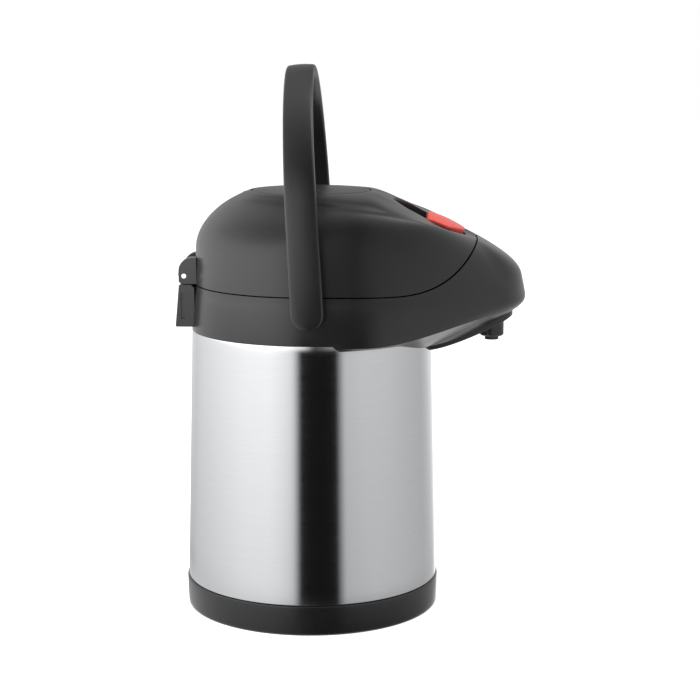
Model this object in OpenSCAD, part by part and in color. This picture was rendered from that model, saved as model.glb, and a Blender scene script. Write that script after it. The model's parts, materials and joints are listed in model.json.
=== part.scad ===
// Airpot: a vacuum flask with a pump lid, a fixed pouring beak and a swinging bail.
// Z is up. The origin is the body's axis on the plane that the pot stands on.
// The beak points along +X and the lid hinge lies at -X.

/* [Base] */
// Outer diameter of the black base band at its top edge
base_d = 160; // [154:1:180]
// Height of the base band above the table
base_h = 19; // [16:0.5:30]
// How far the band draws in towards its foot, on the radius
base_draft = 1.5; // [0.5:0.1:3]
// Thickness of the moulded base
base_t = 2.2; // [1.6:0.1:3]
// How far the middle of the rubber ring lies inside the band's top edge
foot_inset = 13; // [12:0.5:24]
// Width of the rubber ring
foot_w = 7.8; // [5:0.2:10]
// Height of the rubber ring
foot_h = 3.2; // [2.6:0.1:4]
// How far the ring stands out below the base
foot_proud = 1.2; // [0.8:0.1:1.6]

/* [Steel flask] */
// Height of the steel wall that shows between base and collar
shell_h = 158.4; // [120:0.2:220]
// How far the base band stands out from the steel wall
band_step = 0.6; // [0.3:0.1:2]
// Diameter of the steel wall under the collar
shell_top_d = 150.6; // [146:0.2:152]
// Sheet thickness of the shell and the vessel
steel_t = 0.6; // [0.5:0.1:1]
// How far the shell reaches down into the base
shell_engage = 7; // [5:0.5:9]
// Outer radius of the inner vessel near its floor
vessel_r = 70.5; // [55:0.5:72]
// Outer radius of the inner vessel below its shoulder
vessel_top_r = 67.5; // [55:0.5:69]
// Height of the vessel's floor above the table
vessel_floor_z = 24; // [22:0.5:40]
// Clear bore of the filling mouth
mouth_d = 76; // [60:1:80]
// Width of the flat lip where vessel and shell are joined
lip_w = 8.8; // [7:0.2:10]
// Height of the lip above the steel wall's top edge
lip_rise = 12.6; // [11:0.2:14]

/* [Collar and beak] */
// Height of the collar from the steel wall to the lid seam
collar_h = 28.2; // [26:0.2:34]
// Radius of the collar at its lower edge
collar_foot_r = 75.2; // [74.4:0.1:75.6]
// Radius of the collar at the lid seam
seam_r = 73.1; // [71:0.1:74.5]
// Distance from the body's axis to the tip of the beak
beak_reach = 134; // [126:0.5:136]
// Radius of the beak's nose, seen from above
nose_r = 38; // [34:0.5:44]
// Wall thickness of the moulded covers
wall_t = 2.4; // [1.8:0.1:3]
// How far the front skirt hangs below the rear edge of the collar
skirt_drop = 3.4; // [2:0.2:5]
// How far the deck round the mouth lies below the lid seam
deck_drop = 4; // [3:0.5:5]
// Height of the curve that the seam climbs from the flat deck through the beak
seam_climb = 43; // [38:0.5:48]
// Distance from the axis to where the seam begins to climb
seam_start_x = 45; // [42:0.5:50]
// Distance from the beak's tip back to the steep end of the seam's curve
seam_end_back = 25; // [22:0.5:30]

/* [Spout] */
// Distance from the beak's tip back to the outlet
spout_back = 20.5; // [18:0.5:26]
// Radius of the outlet's outer sleeve
spout_r = 7.6; // [6.5:0.1:9]
// How far the sleeve hangs below the spout cover
spout_drop = 6.4; // [4:0.2:8]
// Bore radius of the outlet
spout_bore_r = 2.4; // [1.8:0.1:3]
// Half width of the cover strip under the beak
cover_half_w = 12; // [10:0.5:12.5]
// Thickness of the cover strip
cover_t = 4; // [3:0.1:5]
// Outer radius of the siphon tube
tube_r = 4.5; // [3.6:0.1:5]
// Wall thickness of the siphon tube
tube_t = 1.4; // [1:0.1:1.8]
// Distance from the axis to the siphon tube
tube_x = 30; // [26:0.5:30]

/* [Lid] */
// Height of the crest round the lid above the seam, beside the push plate
crest_h = 50.8; // [46:0.2:54]
// Radius of the crest at the rear
crest_r = 48; // [45:0.5:52]
// Height of the push plate above the seam
plate_h = 59.4; // [56:0.2:66]
// Radius of the push plate
plate_r = 40.4; // [36:0.2:41.5]
// How much the middle of the push plate stands above its edge
plate_crown = 1.5; // [0.4:0.1:2.4]
// Travel of the push plate
pump_stroke = 25; // [18:0.5:28]
// Depth of the push plate's skirt
skirt_h = 24; // [20:0.5:27]
// Bellows radius over its folds
bellows_r = 34; // [28:0.5:35]
// Depth of one bellows fold
fold_depth = 6; // [4:0.5:8]
// Number of bellows folds
fold_count = 7; // [5:1:9]
// Coil radius of the return spring
spring_r = 19; // [14:0.5:21]
// Wire diameter of the return spring
spring_wire = 1.8; // [1.4:0.1:2.4]
// Turns of the return spring
spring_turns = 7; // [5:0.5:9]

/* [Latch] */
// Half width of the finger recess
recess_half_w = 21; // [18:0.5:22]
// Length of the finger recess along the slope
recess_len = 51; // [46:0.5:52]
// Depth of the finger recess
recess_depth = 9; // [7:0.5:10]
// Length of the red lever along the slope
lever_len = 27; // [24:0.5:29]
// How far the red lever's crown stands above the lid
lever_crown = 2.2; // [1:0.1:3]
// Radius of the latch pin
latch_pin_r = 1.5; // [1.2:0.1:1.8]

/* [Hinge] */
// How far the hinge pin lies behind the collar's wall at the seam
hinge_out = 5.3; // [5:0.1:7]
// Height of the hinge pin above the lid seam
hinge_rise = 5.9; // [5.6:0.1:6.6]
// Radius of the hinge pin
hinge_pin_r = 1.5; // [1.2:0.1:1.8]
// Width over both lid ears
hinge_w = 36; // [30:1:44]
// Width of the collar's middle knuckle
knuckle_w = 18; // [12:1:22]
// Radius of the knuckle round the pin
knuckle_r = 4.7; // [4:0.1:4.9]
// Height of the rounded ears above the pin
ear_rise = 11.3; // [9:0.1:13]

/* [Bail handle] */
// Height of the bail above its pivots
bail_rise = 142.5; // [140:0.5:160]
// Distance of the pivots in front of the axis
bail_x = 1.8; // [0:0.1:4]
// Distance of the pivots below the lid seam
pivot_drop = 7.3; // [6:0.1:10]
// Width of the strap at the pivots
bail_w = 19.6; // [16:0.1:24]
// Width of the strap at the top of the arch
bail_top_w = 17.4; // [14:0.1:22]
// Thickness of the strap
bail_t = 6.5; // [5:0.1:8]
// Clear gap between the collar at the seam and each leg
bail_gap = 5.9; // [4.4:0.1:10]
// Lean of the bail towards the hinge, in degrees
bail_lean = 3.1; // [0:0.1:6]
// Radius of the pivot stubs
stub_r = 5; // [4:0.1:6]

/* [Fits] */
// Visible seam between lid and collar
seam_gap = 0.5; // [0.3:0.1:0.8]
// Radial running clearance of pins in their bores
run_fit = 0.05; // [0.02:0.01:0.1]
// Clearance between moving faces
move_gap = 0.5; // [0.3:0.05:0.7]
// Clearance between fixed pieces that are pushed together
seat_gap = 0.2; // [0.1:0.05:0.3]

/* [Hidden] */

black = "#3a3a3b";
satin_black = "#2f2f30";
steel = "#c9cbcd";
rubber_black = "#1d1d1e";
silicone = "#d9d9d6";
milk_white = "#e4e4e0";
signal_red = "#d2463f";

// Heights that everything is stacked on
shell_top_z = base_h + shell_h;
seam_z = shell_top_z + collar_h;
deck_z = seam_z - deck_drop;
lip_z = shell_top_z + lip_rise;
plate_z = seam_z + plate_h;
hinge_z = seam_z + hinge_rise;
pivot_z = seam_z - pivot_drop;

// Widths and places that follow other pieces
foot_r = base_d / 2 - foot_inset;
shell_foot_d = base_d - 2 * band_step;
hinge_x = seam_r + hinge_out;
bail_inner = seam_r + bail_gap;
spout_x = beak_reach - spout_back;
seam_end_x = beak_reach - seam_end_back;

// Size of a cutter that reaches past the whole part
past = 320;

// Arcs and rings
function smooth(t) = let(c = min(1, max(0, t))) c * c * (3 - 2 * c);
function mix(a, b, k) = a + (b - a) * k;
function arc(cx, cy, r, a0, a1, steps) =
  [for (i = [0:steps]) let(a = mix(a0, a1, i / steps)) [cx + r * cos(a), cy + r * sin(a)]];

// A solid through a list of rings with the same number of points. The rings run anticlockwise
// seen from the end that the list leads to. Flat ends are closed by one face each.
module loft(rings) {
  n = len(rings[0]);
  last = len(rings) - 1;
  points = [for (ring = rings) for (p = ring) p];
  sides = [
    for (j = [0:last - 1]) for (i = [0:n - 1])
      let(a = j * n + i, b = j * n + (i + 1) % n)
        each [[a, a + n, b + n], [a, b + n, b]]
  ];
  polyhedron(points, concat(
    sides,
    [[for (i = [0:n - 1]) i]],
    [[for (i = [n - 1:-1:0]) last * n + i]]
  ));
}

// The same, for rings that mirror about Y = 0: each end is closed by strips from side to side,
// so that an end that rises and falls along X stays straight across.
module mirrored_loft(rings) {
  n = len(rings[0]);
  half = n / 2;
  last = (len(rings) - 1) * n;
  points = [for (ring = rings) for (p = ring) p];
  sides = [
    for (j = [0:len(rings) - 2]) for (i = [0:n - 1])
      let(a = j * n + i, b = j * n + (i + 1) % n)
        each [[a, a + n, b + n], [a, b + n, b]]
  ];
  ends = [
    for (i = [0:half - 1])
      let(a = i, b = i + 1, c = n - i - 1, d = (n - i) % n)
        each [
          if (b != c) [a, b, c],
          if (a != d) [a, c, d],
          if (b != c) [last + a, last + c, last + b],
          if (a != d) [last + a, last + d, last + c]
        ]
  ];
  polyhedron(points, concat(sides, ends));
}

// A round wire wound round Z
module coil(r, wire, turns, z_low, z_high, sides = 6, steps = 12) {
  count = ceil(turns * steps);
  climb = (z_high - z_low) / (360 * turns);
  pitch_tilt = atan(climb * 180 / (PI * r));
  rings = [
    for (i = [0:count])
      let(a = 360 * turns * i / count, z = mix(z_low, z_high, i / count))
        [
          for (k = [0:sides - 1])
            let(
              b = -360 * k / sides,
              out = wire / 2 * cos(b),
              up = wire / 2 * sin(b),
              along = -up * sin(pitch_tilt)
            )
              [
                (r + out) * cos(a) - along * sin(a),
                (r + out) * sin(a) + along * cos(a),
                z + up * cos(pitch_tilt)
              ]
        ]
  ];
  loft(rings);
}

// Outline of the head, seen from above. It is what a band would follow if it were laid round a
// circle on the body's axis, a circle a little in front of it and the circle of the nose.
head_x = 30;
side_x = 25;
head_steps = 72;
function exit_from(cx, r, a) =
  let(d = head_x - cx, under = r * r - pow(d * sin(a), 2))
    under < 0 ? 0 : -d * cos(a) + sqrt(under);
function band_r(a, back, side, tip, nose) =
  max(concat(
    [for (i = [0:5]) exit_from(mix(0, side_x, i / 5), mix(back, side, i / 5), a)],
    [
      for (i = [1:16])
        exit_from(mix(side_x, tip - nose, i / 16), mix(side, nose, pow(i / 16, 1.25)), a)
    ]
  ));

// Lower edge of the beak's side wall, and the keel below it, as heights over x
skirt_z = shell_top_z - skirt_drop;
edge_climb = 15.6;
function edge_z(x) = skirt_z + 2 + edge_climb * smooth((x - 35) / (beak_reach - 39));
keel_root_x = 75;
keel_dip = 5.4;
keel_climb = 22.2;
keel_end_x = beak_reach - 6;
function keel_z(x) =
  x < keel_root_x
    ? skirt_z - keel_dip * smooth((x - 54) / (keel_root_x - 54))
    : skirt_z - keel_dip + keel_climb * pow(min(1, (x - keel_root_x) / (keel_end_x - keel_root_x)), 1.35);

// The crest is the crease round the raised middle of the lid. It is highest at the hinge and
// sinks towards the beak. The middle slopes down in front of the push plate.
crest_tip_x = beak_reach - 29;
function crest_z(x) =
  seam_z + crest_h + (x < -2 ? 0.0015 : -0.0019) * pow(x + 2, 2);
slope = 0.46;
slope_x = 74.4;
slope_mid_z = seam_z + crest_h - 8;
function slope_z(x) = slope_mid_z - slope * (x - slope_x);

// Upper end of the upright wall, below the rounded shoulder
function wall_top_z(x) = seam_z + mix(23.8, 6.4, smooth((x - 30) / 102));

// The skirt is a little wider in front, where it hangs over the steel
skirt_r = collar_foot_r + 1.4;
function skirt_band(x) = mix(collar_foot_r, skirt_r, smooth((x - 8) / 14));

// One ring of the head. t is how far the ring lies inside the outer skin.
function ring(t, band, height) =
  [
    for (i = [0:head_steps - 1])
      let(
        a = 360 * i / head_steps,
        r = band(a) - t,
        x = head_x + r * cos(a)
      )
        [x, r * sin(a), height(x)]
  ];

tongue_r = 12.6;
function keel_band(a) =
  let(x = head_x + exit_from(0, skirt_r, a) * cos(a))
    max(concat(
      [exit_from(0, skirt_band(x), a)],
      [for (i = [0:8]) exit_from(mix(64, keel_end_x - tongue_r, i / 8), mix(20, tongue_r, i / 8), a)]
    ));
function edge_band(a) =
  let(x = head_x + exit_from(0, skirt_r, a) * cos(a))
    band_r(a, skirt_band(x), collar_foot_r - 0.6, beak_reach - 4.2, nose_r - 2);

// Outlines at the seam, at the top of the wall and at the crest
function seam_band(a) = band_r(a, seam_r, seam_r - 0.1, beak_reach - 0.8, nose_r);
function wall_band(a) = band_r(a, seam_r - 0.9, seam_r - 1.3, beak_reach - 2.3, nose_r - 7);
function crest_band(a) =
  max(concat(
    [for (i = [0:6]) exit_from(mix(0, 40, i / 6), mix(crest_r, 57.5, i / 6), a)],
    [for (i = [1:12]) exit_from(mix(40, crest_tip_x - 25, i / 12), mix(57.5, 25, i / 12), a)]
  ));

// The shoulder is a Bezier curve in each upright plane through the middle of the head. It leaves
// the crest at a slope and runs into the wall without a kink.
function bezier(p0, p1, p2, p3, k) =
  pow(1 - k, 3) * p0 + 3 * pow(1 - k, 2) * k * p1 + 3 * (1 - k) * k * k * p2 + pow(k, 3) * p3;
function turned(a) = a > 180 ? 360 - a : a;
function crest_slope(turn) = mix(mix(0.52, 0.16, smooth(turn / 60)), 0.5, smooth((turn - 95) / 70));
function shoulder_grip(turn) = mix(0.78, 0.6, smooth(turn / 55));
function shoulder_ring(t, k) =
  [
    for (i = [0:head_steps - 1])
      let(
        a = 360 * i / head_steps,
        turn = turned(a),
        seam_at = seam_band(a),
        wall_at = wall_band(a),
        crest_at = crest_band(a),
        low_z = wall_top_z(head_x + wall_at * cos(a)),
        high_z = crest_z(head_x + crest_at * cos(a)),
        lean = (seam_at - wall_at) / (low_z - seam_z + 0.7),
        grip = shoulder_grip(turn),
        m = crest_slope(turn),
        corner_r = (wall_at - lean * (high_z + m * crest_at - low_z)) / (1 - lean * m),
        corner_z = high_z - m * (corner_r - crest_at),
        p = bezier(
          [wall_at, low_z],
          [mix(wall_at, corner_r, grip), mix(low_z, corner_z, grip)],
          [mix(crest_at, corner_r, grip), mix(high_z, corner_z, grip)],
          [crest_at, high_z],
          k
        )
      )
        [head_x + (p[0] - t) * cos(a), (p[0] - t) * sin(a), p[1] - t * k]
  ];

// The middle inside the crest is level round the push plate and slopes down in front of it. It
// swells up from the crest, quickly in front and slowly at the sides.
rim_r = plate_r + move_gap + 0.6;
rim_z = plate_z - plate_crown - 0.1;
function middle_z(x) = min(rim_z, slope_z(x));
function swell(turn, s) =
  1 - pow(1 - s, mix(mix(4, 2, smooth((turn - 20) / 60)), 1.2, smooth((turn - 110) / 60)));
function top_ring(t, s) =
  [
    for (i = [0:head_steps - 1])
      let(
        a = 360 * i / head_steps,
        crest_at = crest_band(a) - t,
        r = mix(crest_at, exit_from(0, rim_r, a), s),
        x = head_x + r * cos(a),
        low_z = crest_z(head_x + crest_at * cos(a))
      )
        [x, r * sin(a), mix(low_z, middle_z(x), swell(turned(a), s)) - t]
  ];

shoulder_stops = [0, 0.16, 0.3, 0.44, 0.58, 0.72, 0.86, 1];
top_stops = [0.15, 0.32, 0.5, 0.7, 0.86, 1];

// The head as one closed form: keel, walls, shoulder and top. Its inner form is t inside it.
module head_form(t) {
  mirrored_loft(concat(
    [
      ring(t, function(a) keel_band(a), function(x) keel_z(x) + t),
      ring(t, function(a) edge_band(a), function(x) edge_z(x) + t),
      ring(
        t,
        function(a) band_r(a, collar_foot_r - 0.1, collar_foot_r - 0.7, beak_reach - 0.9, nose_r - 0.4),
        function(x) edge_z(x) + t + mix(5, 3.3, smooth((x - 40) / 60))
      ),
      ring(
        t,
        function(a) band_r(a, seam_r + 0.7, seam_r + 0.7, beak_reach + 0.2, nose_r + 0.6),
        function(x) max(seam_z - 8, edge_z(x) + t + 7)
      ),
      ring(t, function(a) seam_band(a), function(x) seam_z - 0.7)
    ],
    [for (k = shoulder_stops) shoulder_ring(t, k)],
    [for (s = top_stops) top_ring(t, s)]
  ));
}

// The seam between lid and collar, seen from the side: level round the pot, then a curve up
// through the beak. up and back move it off its place.
seam_steps = 18;
function seam_rise(u) = seam_climb * (1 - pow(1 - pow(u, 3), 0.77));
function seam_at(x) = seam_z + seam_rise(min(1, max(0, (x - seam_start_x) / (seam_end_x - seam_start_x))));
function seam_line(up, back) =
  [
    for (i = [0:seam_steps])
      let(u = sin(90 * i / seam_steps))
        [mix(seam_start_x, seam_end_x, u) - back, seam_z + seam_rise(u) + up]
  ];
module across() {
  rotate([90, 0, 0])
    linear_extrude(height = past, center = true)
      children();
}
module below_seam(drop = 0) {
  across()
    polygon(concat(
      [[-past, seam_z - drop]],
      seam_line(-drop, -drop),
      [[seam_end_x + drop, seam_z + past], [past, seam_z + past], [past, -past], [-past, -past]]
    ));
}
module above_seam(rise) {
  across()
    polygon(concat(
      [[-past, seam_z + rise]],
      seam_line(rise, rise),
      [[seam_end_x - rise, seam_z + past], [-past, seam_z + past]]
    ));
}

// Flat outline at the height of the seam, t inside the outer skin
function seam_outline(t) =
  [
    for (i = [0:head_steps - 1])
      let(
        a = 360 * i / head_steps,
        r = seam_band(a) - t
      )
        [head_x + r * cos(a), r * sin(a)]
  ];

// Base
ledge_z = base_h - shell_engage;
band_r_top = base_d / 2;
band_in_r = band_r_top - base_t;
foot_edge_r = band_r_top - base_draft;
module base_cover() {
  floor_z = foot_proud + base_t * 2;
  corner = 2.4;
  color(satin_black)
    rotate_extrude()
      polygon(concat(
        [
          [0, foot_h],
          [foot_r - foot_w / 2 - seat_gap, foot_h],
          [foot_r + foot_w / 2 + seat_gap, foot_h],
          [foot_r + foot_w / 2 + seat_gap, foot_proud]
        ],
        arc(foot_edge_r - corner, foot_proud + corner, corner, -90, 0, 6),
        [
          [band_r_top, base_h - 1.4],
          [band_r_top - 0.5, base_h],
          [band_in_r, base_h],
          [band_in_r, ledge_z],
          [band_in_r - steel_t - 1.4, ledge_z],
          [band_in_r - steel_t - 1.4, floor_z],
          [0, floor_z]
        ]
      ));
}

module foot_ring() {
  color(rubber_black)
    rotate_extrude()
      translate([foot_r - foot_w / 2, 0])
        square([foot_w, foot_h]);
}

// Steel flask
shell_in_r = band_in_r - seat_gap;
shell_r_foot = shell_foot_d / 2;
shell_r_top = shell_top_d / 2;
mouth_r = mouth_d / 2;
lip_r = mouth_r + lip_w;
module shell_bottom() {
  disc_r = shell_in_r - steel_t - seat_gap;
  color(steel)
    rotate_extrude()
      polygon([
        [0, ledge_z + 2.6],
        [disc_r - 16, ledge_z + 2.6],
        [disc_r - 12, ledge_z],
        [disc_r, ledge_z],
        [disc_r, ledge_z + steel_t],
        [disc_r - 11.6, ledge_z + steel_t],
        [disc_r - 15.6, ledge_z + 2.6 + steel_t],
        [0, ledge_z + 2.6 + steel_t]
      ]);
}

neck_foot_z = lip_z - 6;
cone_foot_r = shell_r_top - 14;
module outer_shell() {
  color(steel)
    rotate_extrude()
      polygon([
        [shell_in_r, ledge_z],
        [shell_in_r, base_h + 0.1],
        [shell_r_foot + 0.3, base_h + 0.7],
        [shell_r_foot, base_h + 3],
        [shell_r_top, shell_top_z - 0.8],
        [shell_r_top - 0.6, shell_top_z],
        [cone_foot_r, shell_top_z],
        [lip_r, neck_foot_z],
        [lip_r, lip_z - steel_t],
        [lip_r - steel_t, lip_z - steel_t],
        [lip_r - steel_t, neck_foot_z - 0.4],
        [cone_foot_r - 0.3, shell_top_z - steel_t],
        [shell_r_top - 1.6, shell_top_z - steel_t],
        [shell_r_top - steel_t, shell_top_z - 1.8],
        [shell_r_foot - steel_t, base_h + 3],
        [shell_r_foot - 0.5, base_h + 1.4],
        [shell_in_r - steel_t, base_h + 0.8],
        [shell_in_r - steel_t, ledge_z]
      ]);
}

vessel_shoulder_r = 20;
vessel_corner_r = 14;
module inner_vessel() {
  shoulder_z0 = lip_z - 18 - vessel_shoulder_r;
  t = steel_t;
  color(steel)
    rotate_extrude()
      polygon(concat(
        [[0, vessel_floor_z]],
        arc(vessel_r - vessel_corner_r, vessel_floor_z + vessel_corner_r, vessel_corner_r, -90, 0, 8),
        arc(vessel_top_r - vessel_shoulder_r, shoulder_z0, vessel_shoulder_r, 0, 80, 8),
        [
          [mouth_r + t + 1.5, lip_z - 16],
          [mouth_r + t, lip_z - 14],
          [mouth_r + t, lip_z - t],
          [lip_r, lip_z - t],
          [lip_r, lip_z],
          [mouth_r, lip_z],
          [mouth_r, lip_z - 14.4],
          [mouth_r + 1.2, lip_z - 16.8]
        ],
        arc(vessel_top_r - vessel_shoulder_r, shoulder_z0, vessel_shoulder_r - t, 80, 0, 8),
        arc(vessel_r - vessel_corner_r, vessel_floor_z + vessel_corner_r, vessel_corner_r - t, 0, -90, 8),
        [[0, vessel_floor_z + t]]
      ));
}

// Mouth: clamp ring, pipe head, siphon tube
ring_in_r = lip_r + 0.3;
ring_out_r = ring_in_r + 2.6;
ring_flange_r = ring_out_r + 4.4;
head_top_z = deck_z + 1.8;
pipe_z = lip_z + 5;
nipple_r = 3.2;
hose_r = 4.2;
module neck_ring() {
  color(black)
    difference() {
      rotate_extrude()
        polygon([
          [ring_in_r, neck_foot_z + 0.6],
          [ring_out_r, neck_foot_z + 0.6],
          [ring_out_r, deck_z],
          [ring_flange_r, deck_z],
          [ring_flange_r, head_top_z - 0.8],
          [ring_flange_r - 0.8, head_top_z],
          [ring_in_r, head_top_z]
        ]);
      translate([0, 0, pipe_z])
        rotate([0, 90, 0])
          cylinder(r = hose_r + 0.3, h = past, $fn = 48);
    }
}

gasket_h = 1.2;
module head_gasket() {
  color(silicone)
    translate([0, 0, lip_z])
      rotate_extrude()
        translate([mouth_r + 0.2, 0])
          square([lip_w - 0.4, gasket_h]);
}

socket_r = tube_r + 2.4;
chamber_r = 4.4;
tube_top_z = lip_z + 1.6;
module tube_head() {
  foot_z = lip_z + gasket_h;
  color(milk_white)
    difference() {
      union() {
        difference() {
          translate([0, 0, foot_z])
            cylinder(r = lip_r - 0.1, h = head_top_z - foot_z, $fn = 96);
          translate([0, 0, foot_z - 1])
            cylinder(r = mouth_r - 0.6, h = past, $fn = 96);
        }
        translate([tube_x, 0, foot_z])
          cylinder(r = mouth_r + 1 - tube_x, h = head_top_z - foot_z, $fn = 64);
        translate([tube_x, 0, lip_z - 6])
          cylinder(r = socket_r, h = 8, $fn = 64);
        translate([mouth_r, 0, pipe_z])
          rotate([0, 90, 0])
            cylinder(r = nipple_r, h = lip_w + 9, $fn = 48);
      }
      translate([tube_x, 0, lip_z - 7])
        cylinder(r = tube_r + run_fit, h = tube_top_z - lip_z + 7, $fn = 48);
      translate([tube_x, 0, tube_top_z - 0.5])
        cylinder(r = chamber_r, h = head_top_z - 1.6 - tube_top_z + 0.5, $fn = 48);
      translate([tube_x, 0, pipe_z])
        rotate([0, 90, 0])
          cylinder(r = nipple_r - 1, h = past, $fn = 48);
    }
}

module siphon_tube() {
  foot_z = vessel_floor_z + steel_t + 6;
  color(milk_white)
    difference() {
      translate([tube_x, 0, foot_z])
        cylinder(r = tube_r, h = tube_top_z - foot_z, $fn = 48);
      translate([tube_x, 0, foot_z - 1])
        cylinder(r = tube_r - tube_t, h = past, $fn = 48);
      translate([tube_x, 0, foot_z - 2])
        rotate([0, 45, 0])
          cube([5, 3 * tube_r, 5], center = true);
    }
}

ball_r = 3.6;
module leak_ball() {
  rest = sqrt(pow(ball_r, 2) - pow(tube_r - tube_t, 2)) + 0.3;
  color(steel)
    translate([tube_x, 0, tube_top_z + rest])
      sphere(r = ball_r, $fn = 48);
}

// Collar with beak
boss_r = pivot_drop - 0.3;
boss_out = bail_inner - move_gap;
bracket_top_z = seam_z + 0.4;
bracket_foot_z = shell_top_z + 2.2;
bracket_x = hinge_x + 5.6;
bracket_x_top = hinge_x + 3.3;
module hinge_bracket() {
  groove_w = 2.6;
  difference() {
    union() {
      rotate([90, 0, 0])
        linear_extrude(height = hinge_w, center = true)
          polygon([
            [-bracket_x, bracket_foot_z],
            [-seam_r + 1, bracket_foot_z],
            [-seam_r + 1, bracket_top_z - 2],
            [-seam_r - 1, bracket_top_z],
            [-bracket_x_top + 0.8, bracket_top_z],
            [-bracket_x_top, bracket_top_z - 0.8]
          ]);
      rotate([90, 0, 0])
        linear_extrude(height = knuckle_w, center = true)
          union() {
            translate([-hinge_x, hinge_z])
              circle(r = knuckle_r, $fn = 48);
            translate([-hinge_x - knuckle_r * 0.7, bracket_top_z - 2])
              square([knuckle_r * 1.4, hinge_z - bracket_top_z + 2]);
          }
    }
    for (side = [-1, 1])
      translate([-hinge_x - 0.8, side * hinge_w / 2, (bracket_foot_z + bracket_top_z) / 2])
        cube([groove_w, 2.4, bracket_top_z - bracket_foot_z - 10], center = true);
    translate([-hinge_x, 0, hinge_z])
      rotate([90, 0, 0])
        cylinder(r = hinge_pin_r + run_fit, h = hinge_w + 4, center = true, $fn = 48);
  }
}

screw_x = 88;
screw_y = 7;
module collar() {
  shell_clear = seat_gap + 0.1;
  beak_wall_x = ring_flange_r + seat_gap + wall_t;
  color(black)
    difference() {
      union() {
        difference() {
          intersection() {
            head_form(0);
            below_seam();
          }
          intersection() {
            head_form(wall_t);
            below_seam(wall_t);
            across()
              polygon([
                [-past, skirt_z - 12],
                [past, skirt_z - 12],
                [past, seam_z + past],
                [beak_wall_x, seam_z + past],
                [beak_wall_x, deck_z - wall_t],
                [-past, deck_z - wall_t]
              ]);
          }
          // Deck round the mouth, below the rim that the lid sits on
          translate([0, 0, deck_z])
            linear_extrude(height = deck_drop + 1)
              intersection() {
                polygon(seam_outline(wall_t));
                union() {
                  translate([-past, -past])
                    square([past + seam_start_x + 2, 2 * past]);
                  circle(r = ring_flange_r + seat_gap, $fn = 96);
                }
              }
        }
        for (side = [-1, 1])
          translate([bail_x, side * (seam_r - 1), pivot_z])
            rotate([-90 * side, 0, 0]) {
              cylinder(r = boss_r, h = boss_out - seam_r + 1, $fn = 64);
              cylinder(r = stub_r, h = boss_out - seam_r + 1 + 4, $fn = 48);
            }
        hinge_bracket();
        for (side = [-1, 1])
          translate([screw_x, side * screw_y, keel_z(screw_x) + wall_t - 0.6])
            cylinder(r = 3.2, h = 9, $fn = 32);
      }
      // Seat on the steel wall
      translate([0, 0, skirt_z - 20])
        cylinder(r1 = shell_r_top + shell_clear + 1, r2 = shell_r_top + shell_clear, h = 20 + skirt_drop, $fn = 128);
      translate([0, 0, shell_top_z - 1])
        cylinder(r = collar_foot_r - wall_t - 1, h = 4, $fn = 128);
      // Step in the lower edge, where the front skirt begins
      across()
        polygon([
          [-past, -past],
          [21, -past],
          [21, skirt_z],
          [17, shell_top_z],
          [-past, shell_top_z]
        ]);
      translate([0, 0, deck_z - wall_t - 1])
        cylinder(r = ring_out_r + seat_gap, h = wall_t + 2, $fn = 96);
      translate([spout_x, 0, keel_z(spout_x) - 8])
        cylinder(r = spout_r + seat_gap, h = 14, $fn = 64);
      for (side = [-1, 1])
        translate([screw_x, side * screw_y, keel_z(screw_x) - 1])
          cylinder(r = 1.3, h = 9, $fn = 32);
      // Window for the latch hook. The hook's nose rests just behind its upper edge.
      translate([hook_x - 8, -hook_w / 2 - 1, hook_z - 2.8])
        cube([16, hook_w + 2, seam_at(hook_x + hook_nose + move_gap) - hook_z + 2.8]);
    }
}

// Spout
module spout_pipe() {
  start_x = ring_out_r + 0.6;
  bore = nipple_r + seat_gap / 2;
  module run(r, from_x, low_z) {
    translate([from_x, 0, pipe_z])
      rotate([0, 90, 0])
        cylinder(r = r, h = spout_x - from_x, $fn = 48);
    translate([spout_x, 0, pipe_z])
      sphere(r = r + 0.6, $fn = 48);
    translate([spout_x, 0, low_z])
      cylinder(r = r, h = pipe_z - low_z, $fn = 48);
  }
  color(silicone)
    difference() {
      run(hose_r, start_x, hose_foot_z);
      run(bore, start_x - 1, hose_foot_z - 1);
    }
}

sleeve_foot_z = keel_z(spout_x) - cover_t - spout_drop;
hose_foot_z = keel_z(spout_x) + 1.5;
module spout_nozzle() {
  tip_r = spout_r - 3.2;
  color(satin_black)
    translate([spout_x, 0, 0])
      rotate_extrude($fn = 64)
        polygon([
          [spout_bore_r, sleeve_foot_z - 2.4],
          [tip_r, sleeve_foot_z - 2.4],
          [tip_r, sleeve_foot_z],
          [spout_r - 0.8, sleeve_foot_z],
          [spout_r, sleeve_foot_z + 0.8],
          [spout_r, hose_foot_z - 0.3],
          [nipple_r, hose_foot_z - 0.3],
          [nipple_r, pipe_z - 9],
          [spout_bore_r, pipe_z - 9]
        ]);
}

module spout_cover() {
  stations = 14;
  tip_x = spout_x + cover_half_w + 1;
  root_x = keel_root_x + 1.6;
  function half_w(x) =
    x < tip_x - cover_half_w
      ? cover_half_w
      : sqrt(max(0.2, pow(cover_half_w, 2) - pow(x - tip_x + cover_half_w, 2)));
  color(satin_black)
    difference() {
      loft([
        for (i = [0:stations])
          let(
            x = mix(root_x, tip_x, 1 - pow(1 - i / stations, 1.6)),
            w = half_w(x),
            top = keel_z(x) - 0.05,
            soft = min(1.2, w * 0.4)
          )
            [
              [x, -w, top],
              [x, -w, top - cover_t + soft],
              [x, -w + soft, top - cover_t],
              [x, w - soft, top - cover_t],
              [x, w, top - cover_t + soft],
              [x, w, top]
            ]
      ]);
      translate([spout_x, 0, keel_z(spout_x) - 20])
        cylinder(r = spout_r + seat_gap, h = 40, $fn = 64);
      for (side = [-1, 1])
        translate([screw_x, side * screw_y, keel_z(screw_x) - 20])
          cylinder(r = 1.8, h = 40, $fn = 32);
    }
}

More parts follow.
